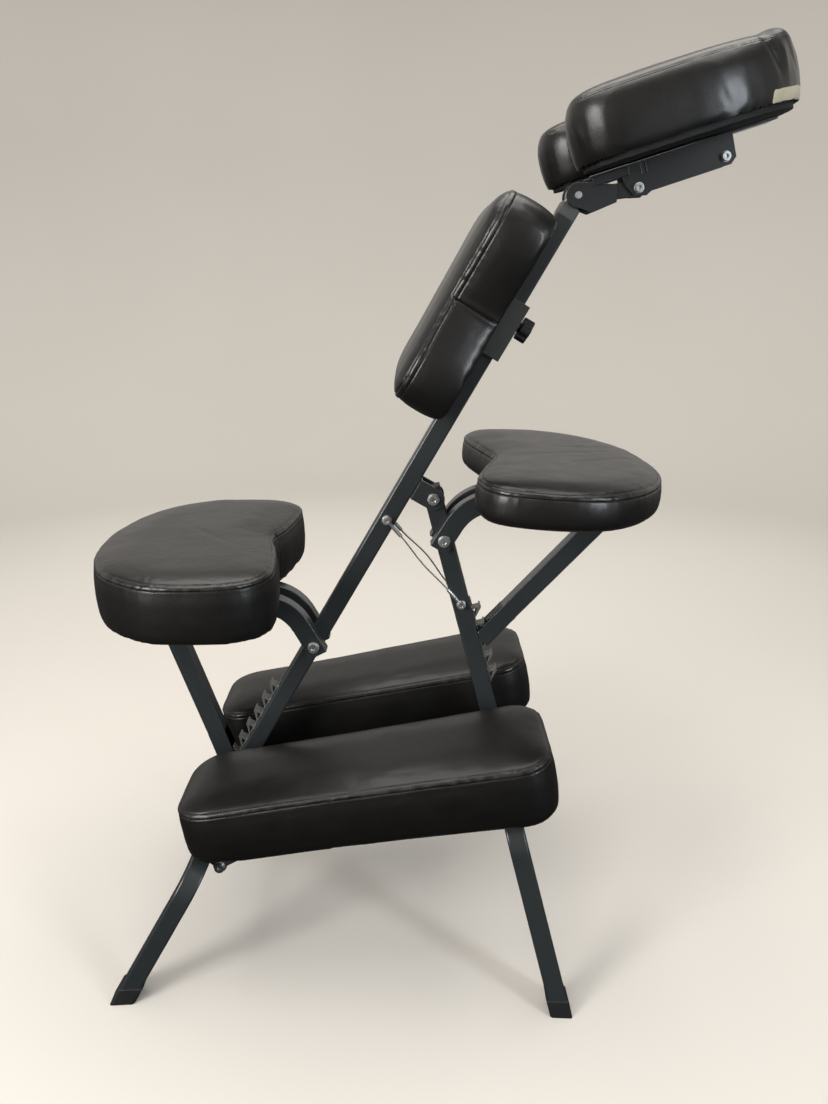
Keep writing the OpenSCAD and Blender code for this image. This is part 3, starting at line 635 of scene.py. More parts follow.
def round_edges(
    bm: bmesh.types.BMesh,
    width: float,
    segments: int = 2,
    angle: float = 28.0,
    wanted: Callable[[bmesh.types.BMEdge], bool] | None = None,
) -> None:
    """Bevels the sharp edges.

    Args:
        bm: The mesh, in mm.
        width: The bevel's width.
        segments: Its segments.
        angle: Edges sharper than this are bevelled.
        wanted: Keeps the edges for which it is true.
    """
    edges = [
        e
        for e in bm.edges
        if e.is_manifold
        and e.calc_face_angle(0.0) > math.radians(angle)
        and (wanted is None or wanted(e))
    ]
    bmesh.ops.bevel(
        bm,
        geom=edges,
        offset=width,
        offset_type="OFFSET",
        segments=segments,
        profile=0.5,
        affect="EDGES",
        clamp_overlap=False,
        material=-1,
    )


def dressed_copy(
    node: str,
    width: float,
    long_width: float = 0.0,
    long_from: float = 60.0,
    extra: Callable[[bmesh.types.BMesh], None] | None = None,
    finish: Finish | None = None,
    suffix: str = "",
) -> bpy.types.Object:
    """A copy of a CAD node with its edges rounded, which stands for the node.

    Args:
        node: The CAD node.
        width: Bevel of its sharp edges, in mm.
        long_width: A wider bevel for its long edges, where one is wanted.
        long_from: Length from which an edge is long.
        extra: Adds detail to the mesh, in the row frame's mm.
        finish: Its finish, where it isn't the node's usual one.
        suffix: Added to that finish's name.

    Returns:
        The piece.
    """
    bm = copy_of_node(node)
    bmesh.ops.dissolve_limit(
        bm,
        angle_limit=math.radians(0.6),
        use_dissolve_boundaries=False,
        verts=bm.verts,
        edges=bm.edges,
        delimit=set(),
    )
    if long_width:
        round_edges(bm, long_width, 3, 60.0, lambda e: e.calc_length() > long_from and e.is_convex)
    round_edges(bm, width, 2, 34.0)
    if extra:
        extra(bm)
    bm.transform(TO_METRES)
    finish = finish or FINISHES[slot_of(node)]
    return finish_piece(
        f"{node}_dressed", bm, body_of(node), finish, [node], suffix=suffix, even=True
    )


def body_of(node: str) -> str:
    """The CAD body that a node rides on."""
    for body, nodes in frame["record"]["behaviour"]["bodies"].items():
        if node in nodes:
            return body
    raise ValueError(f"no body for {node}")


def slot_of(node: str) -> str:
    """The record's material slot of a CAD node."""
    for part in frame["record"]["subparts"]:
        if part["node"] == node:
            return part["material_slot"]
    raise ValueError(f"no slot for {node}")


# Pads


# Points and normals of one closed line of stitching
Stitching = tuple[list[Vector], list[Vector]]
# A chain of fewer points than this is a scrap of a cut, not a seam
SHORTEST_SEAM = 20
# Height in mm under which the cover is wrapped round the board and doesn't swell
WRAPPED = 3.0
SIMULATED_FRAMES = 20
COVER_CLOTH: dict[str, object] = {
    "quality": 5,
    "mass": 0.3,
    "tension_stiffness": 15,
    "compression_stiffness": 15,
    "shear_stiffness": 8,
    "bending_stiffness": 3.0,
    "shrink_min": -0.004,
    "use_pressure": True,
    "uniform_pressure_force": 4.0,
    "vertex_group_mass": "held",
}


def bell(away: np.ndarray, width: float) -> np.ndarray:
    """1 where the distance is 0, and falling off smoothly over a width."""
    return np.exp(-((away / width) ** 2))


@dataclass(frozen=True)
class Fold:
    """A soft crease or ridge of the cover between two points of the pad's frame, in mm."""

    start: Place
    end: Place
    width: float
    depth: float


@dataclass(frozen=True)
class UprightSeam:
    """A seam up the side of a pad, in the plane through a point with a level normal."""

    point: tuple[float, float]
    normal: tuple[float, float]
    reach: float = 40.0


@dataclass
class Pad:
    """A stuffed pad: cover blown up by a cloth solver, sewn seams, folds and stitching.

    The pad's frame has its plan in x and y, with z from the board up through the seam.

    Attributes:
        node: The CAD cushion that it stands for.
        body: The CAD body that it rides on.
        place: Places the pad's frame, in mm, in the row frame.
        side: Height of its side wall up to the seam.
        crown: How far its top rises over the seam.
        pocket: Height of the board's pocket in its underside.
        rise: Slope of the seam's plane along x.
        fill: How tight it is stuffed, from 0 to 1; not used.
        cap: How far the cloth solver may move a point.
        shrink: How much smaller it starts.
        calm: Rounds that even out the solver's movement.
        rolled: Rounds that round off its lower edge.
        slack: Strength of the cover's small dents.
        upper: Height of the band's upper seam over the seam's plane.
        lower: Height of the band's lower seam over the seam's plane.
        raised: Strength of the band's relief.
        stitched: Whether stitches show in its seams.
        soften: Rounds that round off its upper edge.
        hang: How far its rim hangs below the board.
        cover: Its finish.
        suffix: Added to that finish's name for a variant of its own.
        folds: Its creases and ridges.
        upright: The seams up its side.
        torn: How bare the cover is at each point.
        voxel: Size of the even mesh.
        seam_pull: Depth and half width of a seam's groove.
        band_rise: How far the band between the seams stands out.
        wall_pull: Depth and half width of an upright seam's groove.
        held: Heights over the seam's plane between which the solver moves nothing.
        work: The cover while it is being made.
        start: Its points before the solver, in mm.
    """

    node: str
    body: str
    place: Matrix
    side: float
    crown: float
    pocket: float
    rise: float = 0.0
    fill: float = 0.85
    cap: float = 3.0
    shrink: float = 1.2
    calm: int = 12
    rolled: int = 6
    slack: float = 1.0
    upper: float = 2.4
    lower: float = -4.6
    raised: float = 1.0
    stitched: bool = True
    soften: int = 0
    hang: float = 0.0
    cover: Leatherette = LEATHER
    suffix: str = ""
    folds: tuple[Fold, ...] = ()
    upright: tuple[UprightSeam, ...] = ()
    torn: Callable[[np.ndarray], np.ndarray] | None = None
    voxel: float = 5.0
    seam_pull: tuple[float, float] = (0.75, 0.62)
    band_rise: float = 0.55
    wall_pull: tuple[float, float] = (1.5, 0.8)
    held: tuple[float, float] = (-6.0, 3.6)
    work: bpy.types.Object | None = field(default=None, repr=False)
    start: np.ndarray | None = field(default=None, repr=False)

    def seam_height(self, co: np.ndarray) -> np.ndarray:
        """Height of points over the seam's plane, in mm."""
        return co[:, 2] - self.side - self.rise * co[:, 0]

    def prepare(self) -> None:
        """Makes the cover's even mesh from the CAD form, without the board's pocket."""
        bm = copy_of_node(self.node, self.place)
        pocket = [v for v in bm.verts if abs(v.co.z - self.pocket) < 0.08]
        bmesh.ops.delete(bm, geom=pocket, context="VERTS")
        rim = [e for e in bm.edges if e.is_boundary]
        bmesh.ops.holes_fill(bm, edges=rim, sides=0)
        bmesh.ops.recalc_face_normals(bm, faces=bm.faces)
        bmesh.ops.triangulate(bm, faces=[f for f in bm.faces if len(f.verts) > 4])
        bm.transform(TO_METRES)
        self.work = new_object(f"{self.node}_cover", bm)
        remesh = self.work.modifiers.new("even", "REMESH")
        remesh.mode = "VOXEL"
        remesh.voxel_size = self.voxel * MM
        keep_modified(self.work)
        co, normals = self._read(self.work.data)
        inward = np.where(co[:, 2:3] > WRAPPED, self.shrink, 0.0)
        co = co - normals * inward
        roll = bell(co[:, 2:3], 7.0)
        flat = co[:, 2].copy()
        co = co + roll * (self._calmed(co, self.rolled) - co)
        co[:, 2] = np.where(flat < 0.6, flat, co[:, 2])
        self._write(self.work.data, co)
        self.start = co
        group = self.work.vertex_groups.new(name="held")
        height = self.seam_height(co)
        low, high = self.held
        for i, (z, h) in enumerate(zip(co[:, 2], height)):
            if z < WRAPPED + 1.0 or low < h < high:
                group.add([i], 1.0, "REPLACE")

    @staticmethod
    def _read(mesh: bpy.types.Mesh) -> tuple[np.ndarray, np.ndarray]:
        """Vertex places in mm and vertex normals."""
        co = np.zeros(len(mesh.vertices) * 3)
        mesh.vertices.foreach_get("co", co)
        normals = np.zeros(len(mesh.vertices) * 3)
        mesh.vertex_normals.foreach_get("vector", normals)
        return co.reshape(-1, 3) / MM, normals.reshape(-1, 3)

    @staticmethod
    def _write(mesh: bpy.types.Mesh, co: np.ndarray) -> None:
        """Puts vertex places in mm back."""
        mesh.vertices.foreach_set("co", (co * MM).ravel())
        mesh.update()

    def inflate(self) -> None:
        """Adds the cloth solver that blows the cover up."""
        cloth = self.work.modifiers.new("blow", "CLOTH")
        for key, value in COVER_CLOTH.items():
            setattr(cloth.settings, key, value)
        cloth.settings.effector_weights.gravity = 0.0
        cloth.collision_settings.use_collision = False
        cloth.collision_settings.use_self_collision = False
        cloth.point_cache.frame_start = 1
        cloth.point_cache.frame_end = SIMULATED_FRAMES

    def settle(self) -> None:
        """Keeps the blown form, with the movement of each point capped, and divides it once."""
        if self.work.modifiers:
            keep_modified(self.work)
            co, _ = self._read(self.work.data)
            move = co - self.start
            length = np.linalg.norm(move, axis=1, keepdims=True)
            move *= np.minimum(1.0, self.cap / np.maximum(length, 1e-6))
            co = self.start + self._calmed(move, self.calm)
        else:
            outward = np.where(self.start[:, 2:3] > WRAPPED, self.shrink, 0.0)
            co = self.start + self._read(self.work.data)[1] * outward
        if self.soften:
            edge = bell(self.seam_height(co), 15.0)[:, None]
            edge *= np.clip((150.0 - co[:, :1]) / 40.0, 0.35, 1.0)
            co = co + edge * (self._calmed(co, self.soften) - co)
        self._write(self.work.data, co)
        smooth = self.work.modifiers.new("divide", "SUBSURF")
        smooth.levels = smooth.render_levels = 1
        keep_modified(self.work)

    def _calmed(self, move: np.ndarray, rounds: int) -> np.ndarray:
        """Evens out a movement of the cover over neighbouring points."""
        pairs = np.zeros(len(self.work.data.edges) * 2, dtype=int)
        self.work.data.edges.foreach_get("vertices", pairs)
        a, b = pairs.reshape(-1, 2).T
        count = np.bincount(pairs, minlength=len(move))[:, None]
        for _ in range(rounds):
            total = np.zeros_like(move)
            np.add.at(total, a, move[b])
            np.add.at(total, b, move[a])
            move = 0.5 * move + 0.5 * total / count
        return move

    def sew(self) -> list[Stitching]:
        """Cuts the seams into the cover, pulls them in and adds the folds.

        Returns:
            The lines of stitching.
        """
        bm = bmesh.new()
        bm.from_mesh(self.work.data)
        bm.transform(TO_MM)
        bpy.data.objects.remove(self.work)
        band_layer = bm.verts.layers.float.new("band")
        normal = Vector((-self.rise, 0.0, 1.0)).normalized()
        cuts: dict[float, list[bmesh.types.BMEdge]] = {}
        for level in (self.upper, self.lower):
            for step in (-1.0, 0.0, 1.0):
                cut = bmesh.ops.bisect_plane(
                    bm,
                    geom=[*bm.verts, *bm.edges, *bm.faces],
                    dist=0.12,
                    plane_co=(0.0, 0.0, self.side + level + step),
                    plane_no=normal,
                )["geom_cut"]
                if step == 0.0:
                    cuts[level] = [g for g in cut if isinstance(g, bmesh.types.BMEdge)]
        for seam in self.upright:
            self._cut_upright(bm, seam)
        bm.normal_update()
        bm.verts.ensure_lookup_table()
        co = np.array([v.co[:] for v in bm.verts])
        normals = np.array([v.normal[:] for v in bm.verts])
        height = self.seam_height(co)
        push = np.zeros(len(co))
        depth, width = self.seam_pull
        for level in (self.upper, self.lower):
            push -= depth * self.raised * bell(height - level, width)
        middle, half = (self.upper + self.lower) / 2, (self.upper - self.lower) / 2
        band = np.clip(1.0 - ((height - middle) / half) ** 2, 0.0, 1.0)
        push += self.band_rise * self.raised * band
        near_seam = bell(height - middle, 3.2 * half)
        pucker, slack, broad = (
            np.array(
                [noise.noise(Vector((x / wide, y / wide, z / high + shift))) for x, y, z in co]
            )
            for wide, high, shift in ((5.5, 40, 0.0), (21, 60, 7.0), (75, 75, 31.0))
        )
        tight, loose = 5.0, 19.0
        open_cover = np.clip((co[:, 2] - tight) / (loose - tight), 0.0, 1.0)
        drawn = 0.4 * pucker * near_seam + 0.4 * slack * near_seam + 0.7 * broad
        push += drawn * self.slack * open_cover
        for fold in self.folds:
            push += self._fold(co, fold)
        for seam in self.upright:
            push += self._pull_upright(co, normals, height, seam)
        moved = co + normals * push[:, None]
        if self.hang:
            moved = self._hung(moved)
        bare = self.torn(co) if self.torn else None
        bare_layer = bm.verts.layers.float.new("bare") if self.torn else None
        for i, vert in enumerate(bm.verts):
            vert.co = moved[i]
            vert[band_layer] = float(band[i])
            if bare_layer is not None:
                vert[bare_layer] = float(bare[i])
        bm.normal_update()
        lines = [
            ([v.co.copy() for v in chain], [v.normal.copy() for v in chain])
            for edges in cuts.values()
            for chain in chains(edges)
            if len(chain) > SHORTEST_SEAM
        ]
        self._lift_pocket(bm)
        bm.transform(self.place)
        finish = replace(self.cover, torn=bool(self.torn))
        suffix = "_torn" if self.torn else self.suffix
        piece = finish_piece(
            self.node.replace("cushion", "pad"), bm, self.body, finish, [self.node], 75.0, suffix
        )
        return lines

    def _cut_upright(self, bm: bmesh.types.BMesh, seam: UprightSeam) -> None:
        """Adds edges along an upright seam and beside it."""
        point, normal = Vector((*seam.point, 0.0)), Vector((*seam.normal, 0.0)).normalized()
        for step in (-1.1, 0.0, 1.1):
            faces = [
                f
                for f in bm.faces
                if (f.calc_center_median().xy - point.xy).length < seam.reach
                and f.calc_center_median().z < self.side + self.crown
            ]
            edges = {e for f in faces for e in f.edges}
            verts = {v for f in faces for v in f.verts}
            bmesh.ops.bisect_plane(
                bm,
                geom=[*verts, *edges, *faces],
                dist=0.12,
                plane_co=point + normal * step,
                plane_no=normal,
            )

    def _pull_upright(
        self, co: np.ndarray, normals: np.ndarray, height: np.ndarray, seam: UprightSeam
    ) -> np.ndarray:
        """How far an upright seam pulls the side in and its lips stand out."""
        depth, width = self.wall_pull
        n = np.array(seam.normal) / np.linalg.norm(seam.normal)
        away = (co[:, :2] - np.array(seam.point)) @ n
        near = np.linalg.norm(co[:, :2] - np.array(seam.point), axis=1) < seam.reach
        side = near & (height < self.upper) & (np.abs(normals[:, 2]) < 0.75)
        fade = np.clip((self.upper - height) / 3.0, 0.0, 1.0) * np.clip(co[:, 2] / 6.0, 0.0, 1.0)
        pull = -depth * bell(away, width) + 0.7 * bell(np.abs(away) - 3.4, 2.0)
        pull -= 1.1 * bell(away, 11.0)
        return np.where(side, pull * fade, 0.0)

    @staticmethod
    def _fold(co: np.ndarray, fold: Fold) -> np.ndarray:
        """How far a fold moves each point."""
        a, b = np.array(fold.start), np.array(fold.end)
        along = np.clip(((co - a) @ (b - a)) / np.dot(b - a, b - a), 0.0, 1.0)
        away = np.linalg.norm(co - (a + along[:, None] * (b - a)), axis=1)
        return fold.depth * bell(away, fold.width) * (0.25 + 0.75 * np.sin(math.pi * along))

    def _hung(self, co: np.ndarray) -> np.ndarray:
        """Lets the outer rim of the cover hang over the board's edge, a little unevenly."""
        rim_high, underside = 24.0, 1.4
        share = np.clip(1.0 - co[:, 2] / rim_high, 0.0, 1.0) ** 1.5
        uneven = np.array([noise.noise(Vector((x / 26.0, y / 26.0, 3.0))) for x, y, _ in co])
        drop = (self.hang + 1.6 * uneven) * share
        moved = co.copy()
        moved[:, 2] -= np.where((co[:, 2] < rim_high) & (co[:, 2] >= underside), drop, 0.0)
        return moved

    def _lift_pocket(self, bm: bmesh.types.BMesh) -> None:
        """Lifts the underside into the board's pocket, inside the rim that wraps the board."""
        low = [v for v in bm.verts if v.co.z < 1.2]
        inside = [v for v in low if v.normal.z < -0.9 and not self._near_rim(v)]
        for vert in inside:
            vert.co.z = self.pocket - 0.2

    @staticmethod
    def _near_rim(vert: bmesh.types.BMVert) -> bool:
        """Whether an underside point is within two edges of the cover's side."""
        ring = {w for e in vert.link_edges for w in e.verts}
        wide = {w for v in ring for e in v.link_edges for w in e.verts}
        wider = {w for v in wide for e in v.link_edges for w in e.verts}
        return any(w.co.z > 1.2 for w in wider)

    def stitch(self, lines: list[Stitching]) -> None:
        """Lays the rows of stitches in the seams.

        Args:
            lines: The lines from sew().
        """
        bm = bmesh.new()
        for points, normals in lines:
            lay_stitches(bm, points, normals)
        bm.transform(self.place)
        name = self.node.replace("cushion", "stitching")
        piece = finish_piece(name, bm, self.body, Thread("leatherette"), suffix="_thread")
        del piece["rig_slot"]


def chains(edges: Iterable[bmesh.types.BMEdge]) -> list[list[bmesh.types.BMVert]]:
    """Orders loose edges into runs of vertices, each closed run once round."""
    links: dict[bmesh.types.BMVert, list[bmesh.types.BMVert]] = {}
    for edge in edges:
        if edge.is_valid:
            a, b = edge.verts
            links.setdefault(a, []).append(b)
            links.setdefault(b, []).append(a)
    found = []
    while links:
        start = next(iter(links))
        run = [start]
        while True:
            options = [v for v in links.get(run[-1], []) if v in links and v not in run[-2:]]
            options = [v for v in options if v is not start or len(run) > 2]
            done = run[-1]
            following = next((v for v in options if v is not start), None)
            links.pop(done, None)
            if following is None:
                break
            run.append(following)
        found.append(run)
    return found


def lay_stitches(
    bm: bmesh.types.BMesh,
    points: list[Vector],
    normals: list[Vector],
    pitch: float = 4.4,
    length: float = 3.3,
    thick: float = 0.36,
    lift: float = 0.18,
) -> None:
    """Adds a row of stitches along a line of points.

    Args:
        bm: Takes the stitches.
        points: The line, in mm.
        normals: The surface normals along it.
        pitch: Distance from stitch to stitch.
        length: Length of one stitch.
        thick: Half the thread's thickness.
        lift: How far a stitch's middle stands over the line.
    """
    co = np.array([p[:] for p in points] + [points[0][:]])
    no = np.array([n[:] for n in normals] + [normals[0][:]])
    run = np.concatenate([[0.0], np.cumsum(np.linalg.norm(np.diff(co, axis=0), axis=1))])
    count = max(1, int(run[-1] / pitch))
    for k in range(count):
        s = (k + 0.5) * run[-1] / count
        ends = [
            np.array([np.interp(t, run, co[:, i]) for i in range(3)]) for t in (s - 1.2, s + 1.2)
        ]
        up = Vector([np.interp(s, run, no[:, i]) for i in range(3)]).normalized()
        x = Vector(ends[1] - ends[0]).normalized()
        y = up.cross(x).normalized()
        centre = Vector((ends[0] + ends[1]) / 2) + up * lift
        turn = Matrix((x, y, x.cross(y))).transposed().to_4x4()
        size = Matrix.Diagonal((length / 2, thick, thick, 1.0))
        matrix = Matrix.Translation(centre) @ turn @ size
        bmesh.ops.create_icosphere(bm, subdivisions=1, radius=1.0, matrix=matrix)


# Studio


@dataclass
class Studio:
    """Pale sweep, soft lights and the camera at the photograph's place."""

    camera: tuple[float, float, float] = (-0.009, -1.060, 0.891)
    pitch: float = 18.0
    lens: float = 27.07
    radius: float = 4.2
    curve: float = 1.6
    wall: float = 4.5

    def sweep(self) -> None:
        """Floor that curves up all round into the backdrop."""
        bm = bmesh.new()
        steps, flat, curve = 12, self.radius - self.curve, self.curve
        points = [Vector((0.0, 0.0, 0.0)), Vector((flat, 0.0, 0.0))]
        for k in range(1, steps + 1):
            a = math.pi / 2 * k / steps
            points.append(Vector((flat + curve * math.sin(a), 0.0, curve - curve * math.cos(a))))
        points.append(Vector((self.radius, 0.0, self.wall)))
        verts = [bm.verts.new(p) for p in points]
        edges = [bm.edges.new(pair) for pair in zip(verts, verts[1:])]
        bmesh.ops.spin(
            bm,
            geom=[*verts, *edges],
            cent=(0, 0, 0),
            axis=(0, 0, 1),
            angle=math.tau,
            steps=96,
            use_merge=True,
        )
        bmesh.ops.remove_doubles(bm, verts=bm.verts, dist=1e-4)
        bmesh.ops.recalc_face_normals(bm, faces=bm.faces)
        bmesh.ops.reverse_faces(bm, faces=bm.faces)
        graph = Graph("sweep_paper")
        tone = graph.mix(graph.noise(1.3, 2), (0.7, 0.665, 0.615), (0.74, 0.705, 0.655))
        graph.put(Base_Color=tone, Roughness=0.75, Specular_IOR_Level=0.2)
        floor = new_object("sweep", bm, graph.material)
        floor.visible_glossy = False
        floor.visible_diffuse = False

    def room(self) -> None:
        """Sets what the surfaces mirror: a pale wall behind, a dim room in front and below."""
        world = bpy.data.worlds.new("room")
        world.use_nodes = True
        tree = world.node_tree
        background = tree.nodes["Background"]
        place = tree.nodes.new("ShaderNodeTexCoord")
        split = tree.nodes.new("ShaderNodeSeparateXYZ")
        tree.links.new(place.outputs["Generated"], split.inputs[0])
        level = None
        for axis, low, high, dark, pale in (
            ("Y", -0.35, 0.7, 0.19, 0.62),
            ("Z", -0.3, 0.2, 0.085, 1.0),
            ("Z", 0.36, 0.62, 1.0, 0.3),
        ):
            ramp = tree.nodes.new("ShaderNodeMapRange")
            ramp.interpolation_type = "SMOOTHSTEP"
            ends = {"From Min": low, "From Max": high, "To Min": dark, "To Max": pale}
            for key, value in ends.items():
                ramp.inputs[key].default_value = value
            tree.links.new(split.outputs[axis], ramp.inputs["Value"])
            product = tree.nodes.new("ShaderNodeMath")
            product.operation = "MULTIPLY"
            product.inputs[0].default_value = 1.0
            tree.links.new(ramp.outputs[0], product.inputs[1])
            if level is not None:
                tree.links.new(level, product.inputs[0])
            level = product.outputs[0]
        background.inputs["Color"].default_value = (1.0, 0.955, 0.89, 1.0)
        tree.links.new(level, background.inputs["Strength"])
        bpy.context.scene.world = world

    def lights(self) -> None:
        """Tall windows at the left and right in front, and large soft lights above and ahead."""
        self.room()
        warm, cool = (1.0, 0.98, 0.95), (0.86, 0.93, 1.0)
        lamp_warm, wall_warm = (1.0, 0.97, 0.92), (1.0, 0.96, 0.89)
        for name, place, aim, size, power, colour, mirrored in (
            ("window_left", (-2.1, -1.9, 1.5), (0.0, 0.0, 0.6), (0.95, 1.6), 66, warm, True),
            ("window_right", (1.9, -1.75, 1.25), (0.1, 0.0, 0.6), (0.4, 1.3), 26, cool, True),
            ("ceiling", (0.0, 0.3, 3.2), (0.0, 0.2, 0.0), (3.2, 3.0), 95, lamp_warm, True),
            ("ahead", (-0.6, -3.2, 1.7), (0.0, 0.0, 0.6), (2.6, 1.8), 46, warm, False),
            ("backdrop", (0.0, 1.2, 2.6), (0.0, 4.4, 1.3), (4.0, 0.8), 30, wall_warm, False),
        ):
            light = bpy.data.lights.new(name, "AREA")
            light.shape = "RECTANGLE"
            light.size, light.size_y = size
            light.energy = power
            light.color = colour
            lamp = bpy.data.objects.new(name, light)
            lamp.location = place
            lamp.rotation_euler = (Vector(aim) - Vector(place)).to_track_quat("-Z", "Y").to_euler()
            lamp.visible_glossy = mirrored
            bpy.context.scene.collection.objects.link(lamp)
        bpy.context.scene.view_settings.view_transform = "Standard"

    def shoot_from(self) -> None:
        """Sets the camera."""
        data = bpy.data.cameras.new("camera")
        data.sensor_width = 36.0
        data.lens = self.lens
        data.clip_start = 0.02
        camera = bpy.data.objects.new("camera", data)
        camera.location = self.camera
        camera.rotation_euler = (math.radians(90.0 - self.pitch), 0.0, 0.0)
        bpy.context.scene.collection.objects.link(camera)
        bpy.context.scene.camera = camera

    def build(self) -> None:
        """Builds the studio."""
        self.sweep()
        self.lights()
        self.shoot_from()


# The chair


@dataclass
class Upholstery:
    """The chair's six pads."""

    pads: list[Pad] = field(default_factory=list)

    def plan(self) -> None:
        """Lists the pads with their seams and folds."""
        self.pads = [
            Pad(
                "seat_cushion",
                "seat",
                SEAT_PIVOT.matrix(-23.0, 0.0, 75.0),
                side=71.0,
                crown=8.0,
                pocket=12.3,
                upright=(UprightSeam((-24.0, 15.0), (0.0, 1.0), 38.0),),
                folds=(Fold((-70, -60, 78), (-160, 40, 79), 5.0, -0.6),),
            ),
            Pad(
                "armrest_cushion",
                "armrest",
                ARM_PIVOT.matrix(38.0, 0.0, 68.0) @ Matrix.Rotation(math.pi, 4, "Z"),
                side=40.0,
                crown=9.0,
                pocket=12.3,
                upright=(UprightSeam((-17.0, 0.0), (0.0, 1.0), 40.0),),
                folds=(
                    Fold((-60, 20, 49), (-190, -30, 49), 4.0, -0.7),
                    Fold((-80, -30, 49), (-205, -60, 49), 3.5, -0.6),
                    Fold((-110, 60, 49), (-200, 10, 49), 4.0, -0.7),
                    Fold((-120, -70, 49), (-190, -95, 48), 3.5, -0.5),
                ),
            ),
            *(
                Pad(
                    f"knee_cushion_{side.name.lower()}",
                    f"knee_{side.name.lower()}",
                    KNEE.matrix(214.5, side.value * 134.0, 44.0),
                    side=74.5,
                    crown=10.0,
                    pocket=12.3,
                    rise=9.0 / 480.0,
                    slack=0.4,
                    # painted shade: the knee pads take the darker copy of the leatherette
                    cover=SHADED_KNEE_LEATHER,
                    suffix="_knee",
                )
                for side in Side
            ),
            Pad(
                "chest_cushion",
                "chest",
                POST.matrix(969.0, 0.0, 12.55),
                side=59.0,
                crown=14.0,
                pocket=11.15,
                upright=(
                    UprightSeam((0.0, -99.0), (1.0, 0.0), 30.0),
                    UprightSeam((0.0, 99.0), (1.0, 0.0), 30.0),
                ),
            ),
            Pad(
                "cradle_cushion",
                "cradle",
                CRADLE.matrix(0.0, 0.0, 37.3),
                side=58.0,
                crown=10.0,
                pocket=1.0,
                upper=0.6,
                lower=-0.6,
                raised=0.5,
                stitched=False,
                soften=26,
                hang=6.0,
                torn=self.torn_corner,
                folds=(
                    Fold((108, -60, 67), (123, -119, 56), 4.5, -2.4),
                    Fold((122, -119, 60), (134, -115, 24), 4.5, -2.2),
                    Fold((142, -40, 68), (156, -96, 60), 14.0, 5.0),
                    Fold((144, -108, 54), (146, -108, 22), 6.0, 1.6),
                    Fold((152, -97, 58), (166, -86, 20), 4.0, -1.5),
                    Fold((62, -148, 24), (72, -146, 2), 4.0, -1.1),
                    Fold((86, -142, 20), (96, -138, 2), 8.0, 0.8),
                    Fold((-84, -110, 56), (-74, -128, 16), 5.0, 0.9),
                ),
            ),
        ]

    @staticmethod
    def torn_corner(co: np.ndarray) -> np.ndarray:
        """How bare each point of the face pad is, at the corner where the cover has come off."""
        from_x, to_y, from_z, to_z = 114.0, -50.0, 1.6, 12.0
        x, y, z = co.T
        ragged = np.array([noise.noise(Vector((a / 17.0, b / 17.0, 5.0))) for a, b, _ in co])
        upper = np.clip((to_z + 2.5 * ragged - z) / 2.0, 0.0, 1.0)
        start = np.clip((x - from_x - 5.0 * ragged - 0.35 * z) / 3.0, 0.0, 1.0)
        end = np.clip((to_y - y) / 6.0, 0.0, 1.0)
        return upper * (start * end) * np.clip((z - from_z) / 1.0, 0.0, 1.0)

    def build(self) -> None:
        """Blows up the pads together, then sews and stitches each."""
        self.plan()
        for pad in self.pads:
            pad.prepare()
        for pad in self.pads:
            pad.inflate()
        for number in range(1, SIMULATED_FRAMES + 1):
            bpy.context.scene.frame_set(number)
        for pad in self.pads:
            pad.settle()
            lines = pad.sew()
            if pad.stitched:
                pad.stitch(lines)
        bpy.context.scene.frame_set(1)


def weld(
    bm: bmesh.types.BMesh, start: Sequence[float], end: Sequence[float], radius: float
) -> None:
    """Lays a weld bead as a row of overlapping ripples.

    Args:
        bm: Takes the bead, in the row frame's mm.
        start: Its first point.
        end: Its last point.
        radius: Its radius.
    """
    a, b = Vector(start), Vector(end)
    count = max(2, int((b - a).length / (0.8 * radius)))
    turn = (b - a).to_track_quat("X", "Z").to_matrix().to_4x4()
    for k in range(count + 1):
        swell = radius * (1.0 + 0.18 * noise.noise(Vector((k * 1.7, a.x, a.z))))
        matrix = (
            Matrix.Translation(a.lerp(b, k / count))
            @ turn
            @ Matrix.Rotation(0.35, 4, "Z")
            @ Matrix.Diagonal((0.62 * swell, swell, 0.8 * swell, 1.0))
        )
        bmesh.ops.create_icosphere(bm, subdivisions=1, radius=1.0, matrix=matrix)


def sweep_tube(
    bm: bmesh.types.BMesh,
    points: Sequence[Vector],
    radius: float,
    sides: int,
    lobes: int,
    depth: float,
    twist: float,
) -> None:
    """Draws a stranded section along a line of points.

    Args:
        bm: Takes the tube.
        points: Its centre line.
        radius: Its radius.
        sides: Points round the section.
        lobes: Strands round the section.
        depth: Depth between the strands as a share of the radius.
        twist: Turn of the strands in radians from point to point.
    """
    rings = []
    for k, point in enumerate(points):
        ahead = points[min(k + 1, len(points) - 1)] - points[max(k - 1, 0)]
        turn = ahead.to_track_quat("Z", "X").to_matrix().to_4x4()
        ring = bmesh.ops.create_circle(
            bm,
            segments=sides,
            radius=radius,
            matrix=Matrix.Translation(point) @ turn @ Matrix.Rotation(k * twist, 4, "Z"),
        )["verts"]
        for i, vert in enumerate(ring):
            swell = 1.0 - depth * (0.5 + 0.5 * math.cos(lobes * math.tau * i / sides))
            vert.co = point + (vert.co - point) * swell
        rings.append([e for e in {e for v in ring for e in v.link_edges} if e.is_wire])
    for low, high in zip(rings, rings[1:]):
        bmesh.ops.bridge_loops(bm, edges=[*low, *high])
    bmesh.ops.holes_fill(bm, edges=[e for e in bm.edges if e.is_boundary], sides=0)
    bmesh.ops.recalc_face_normals(bm, faces=bm.faces)


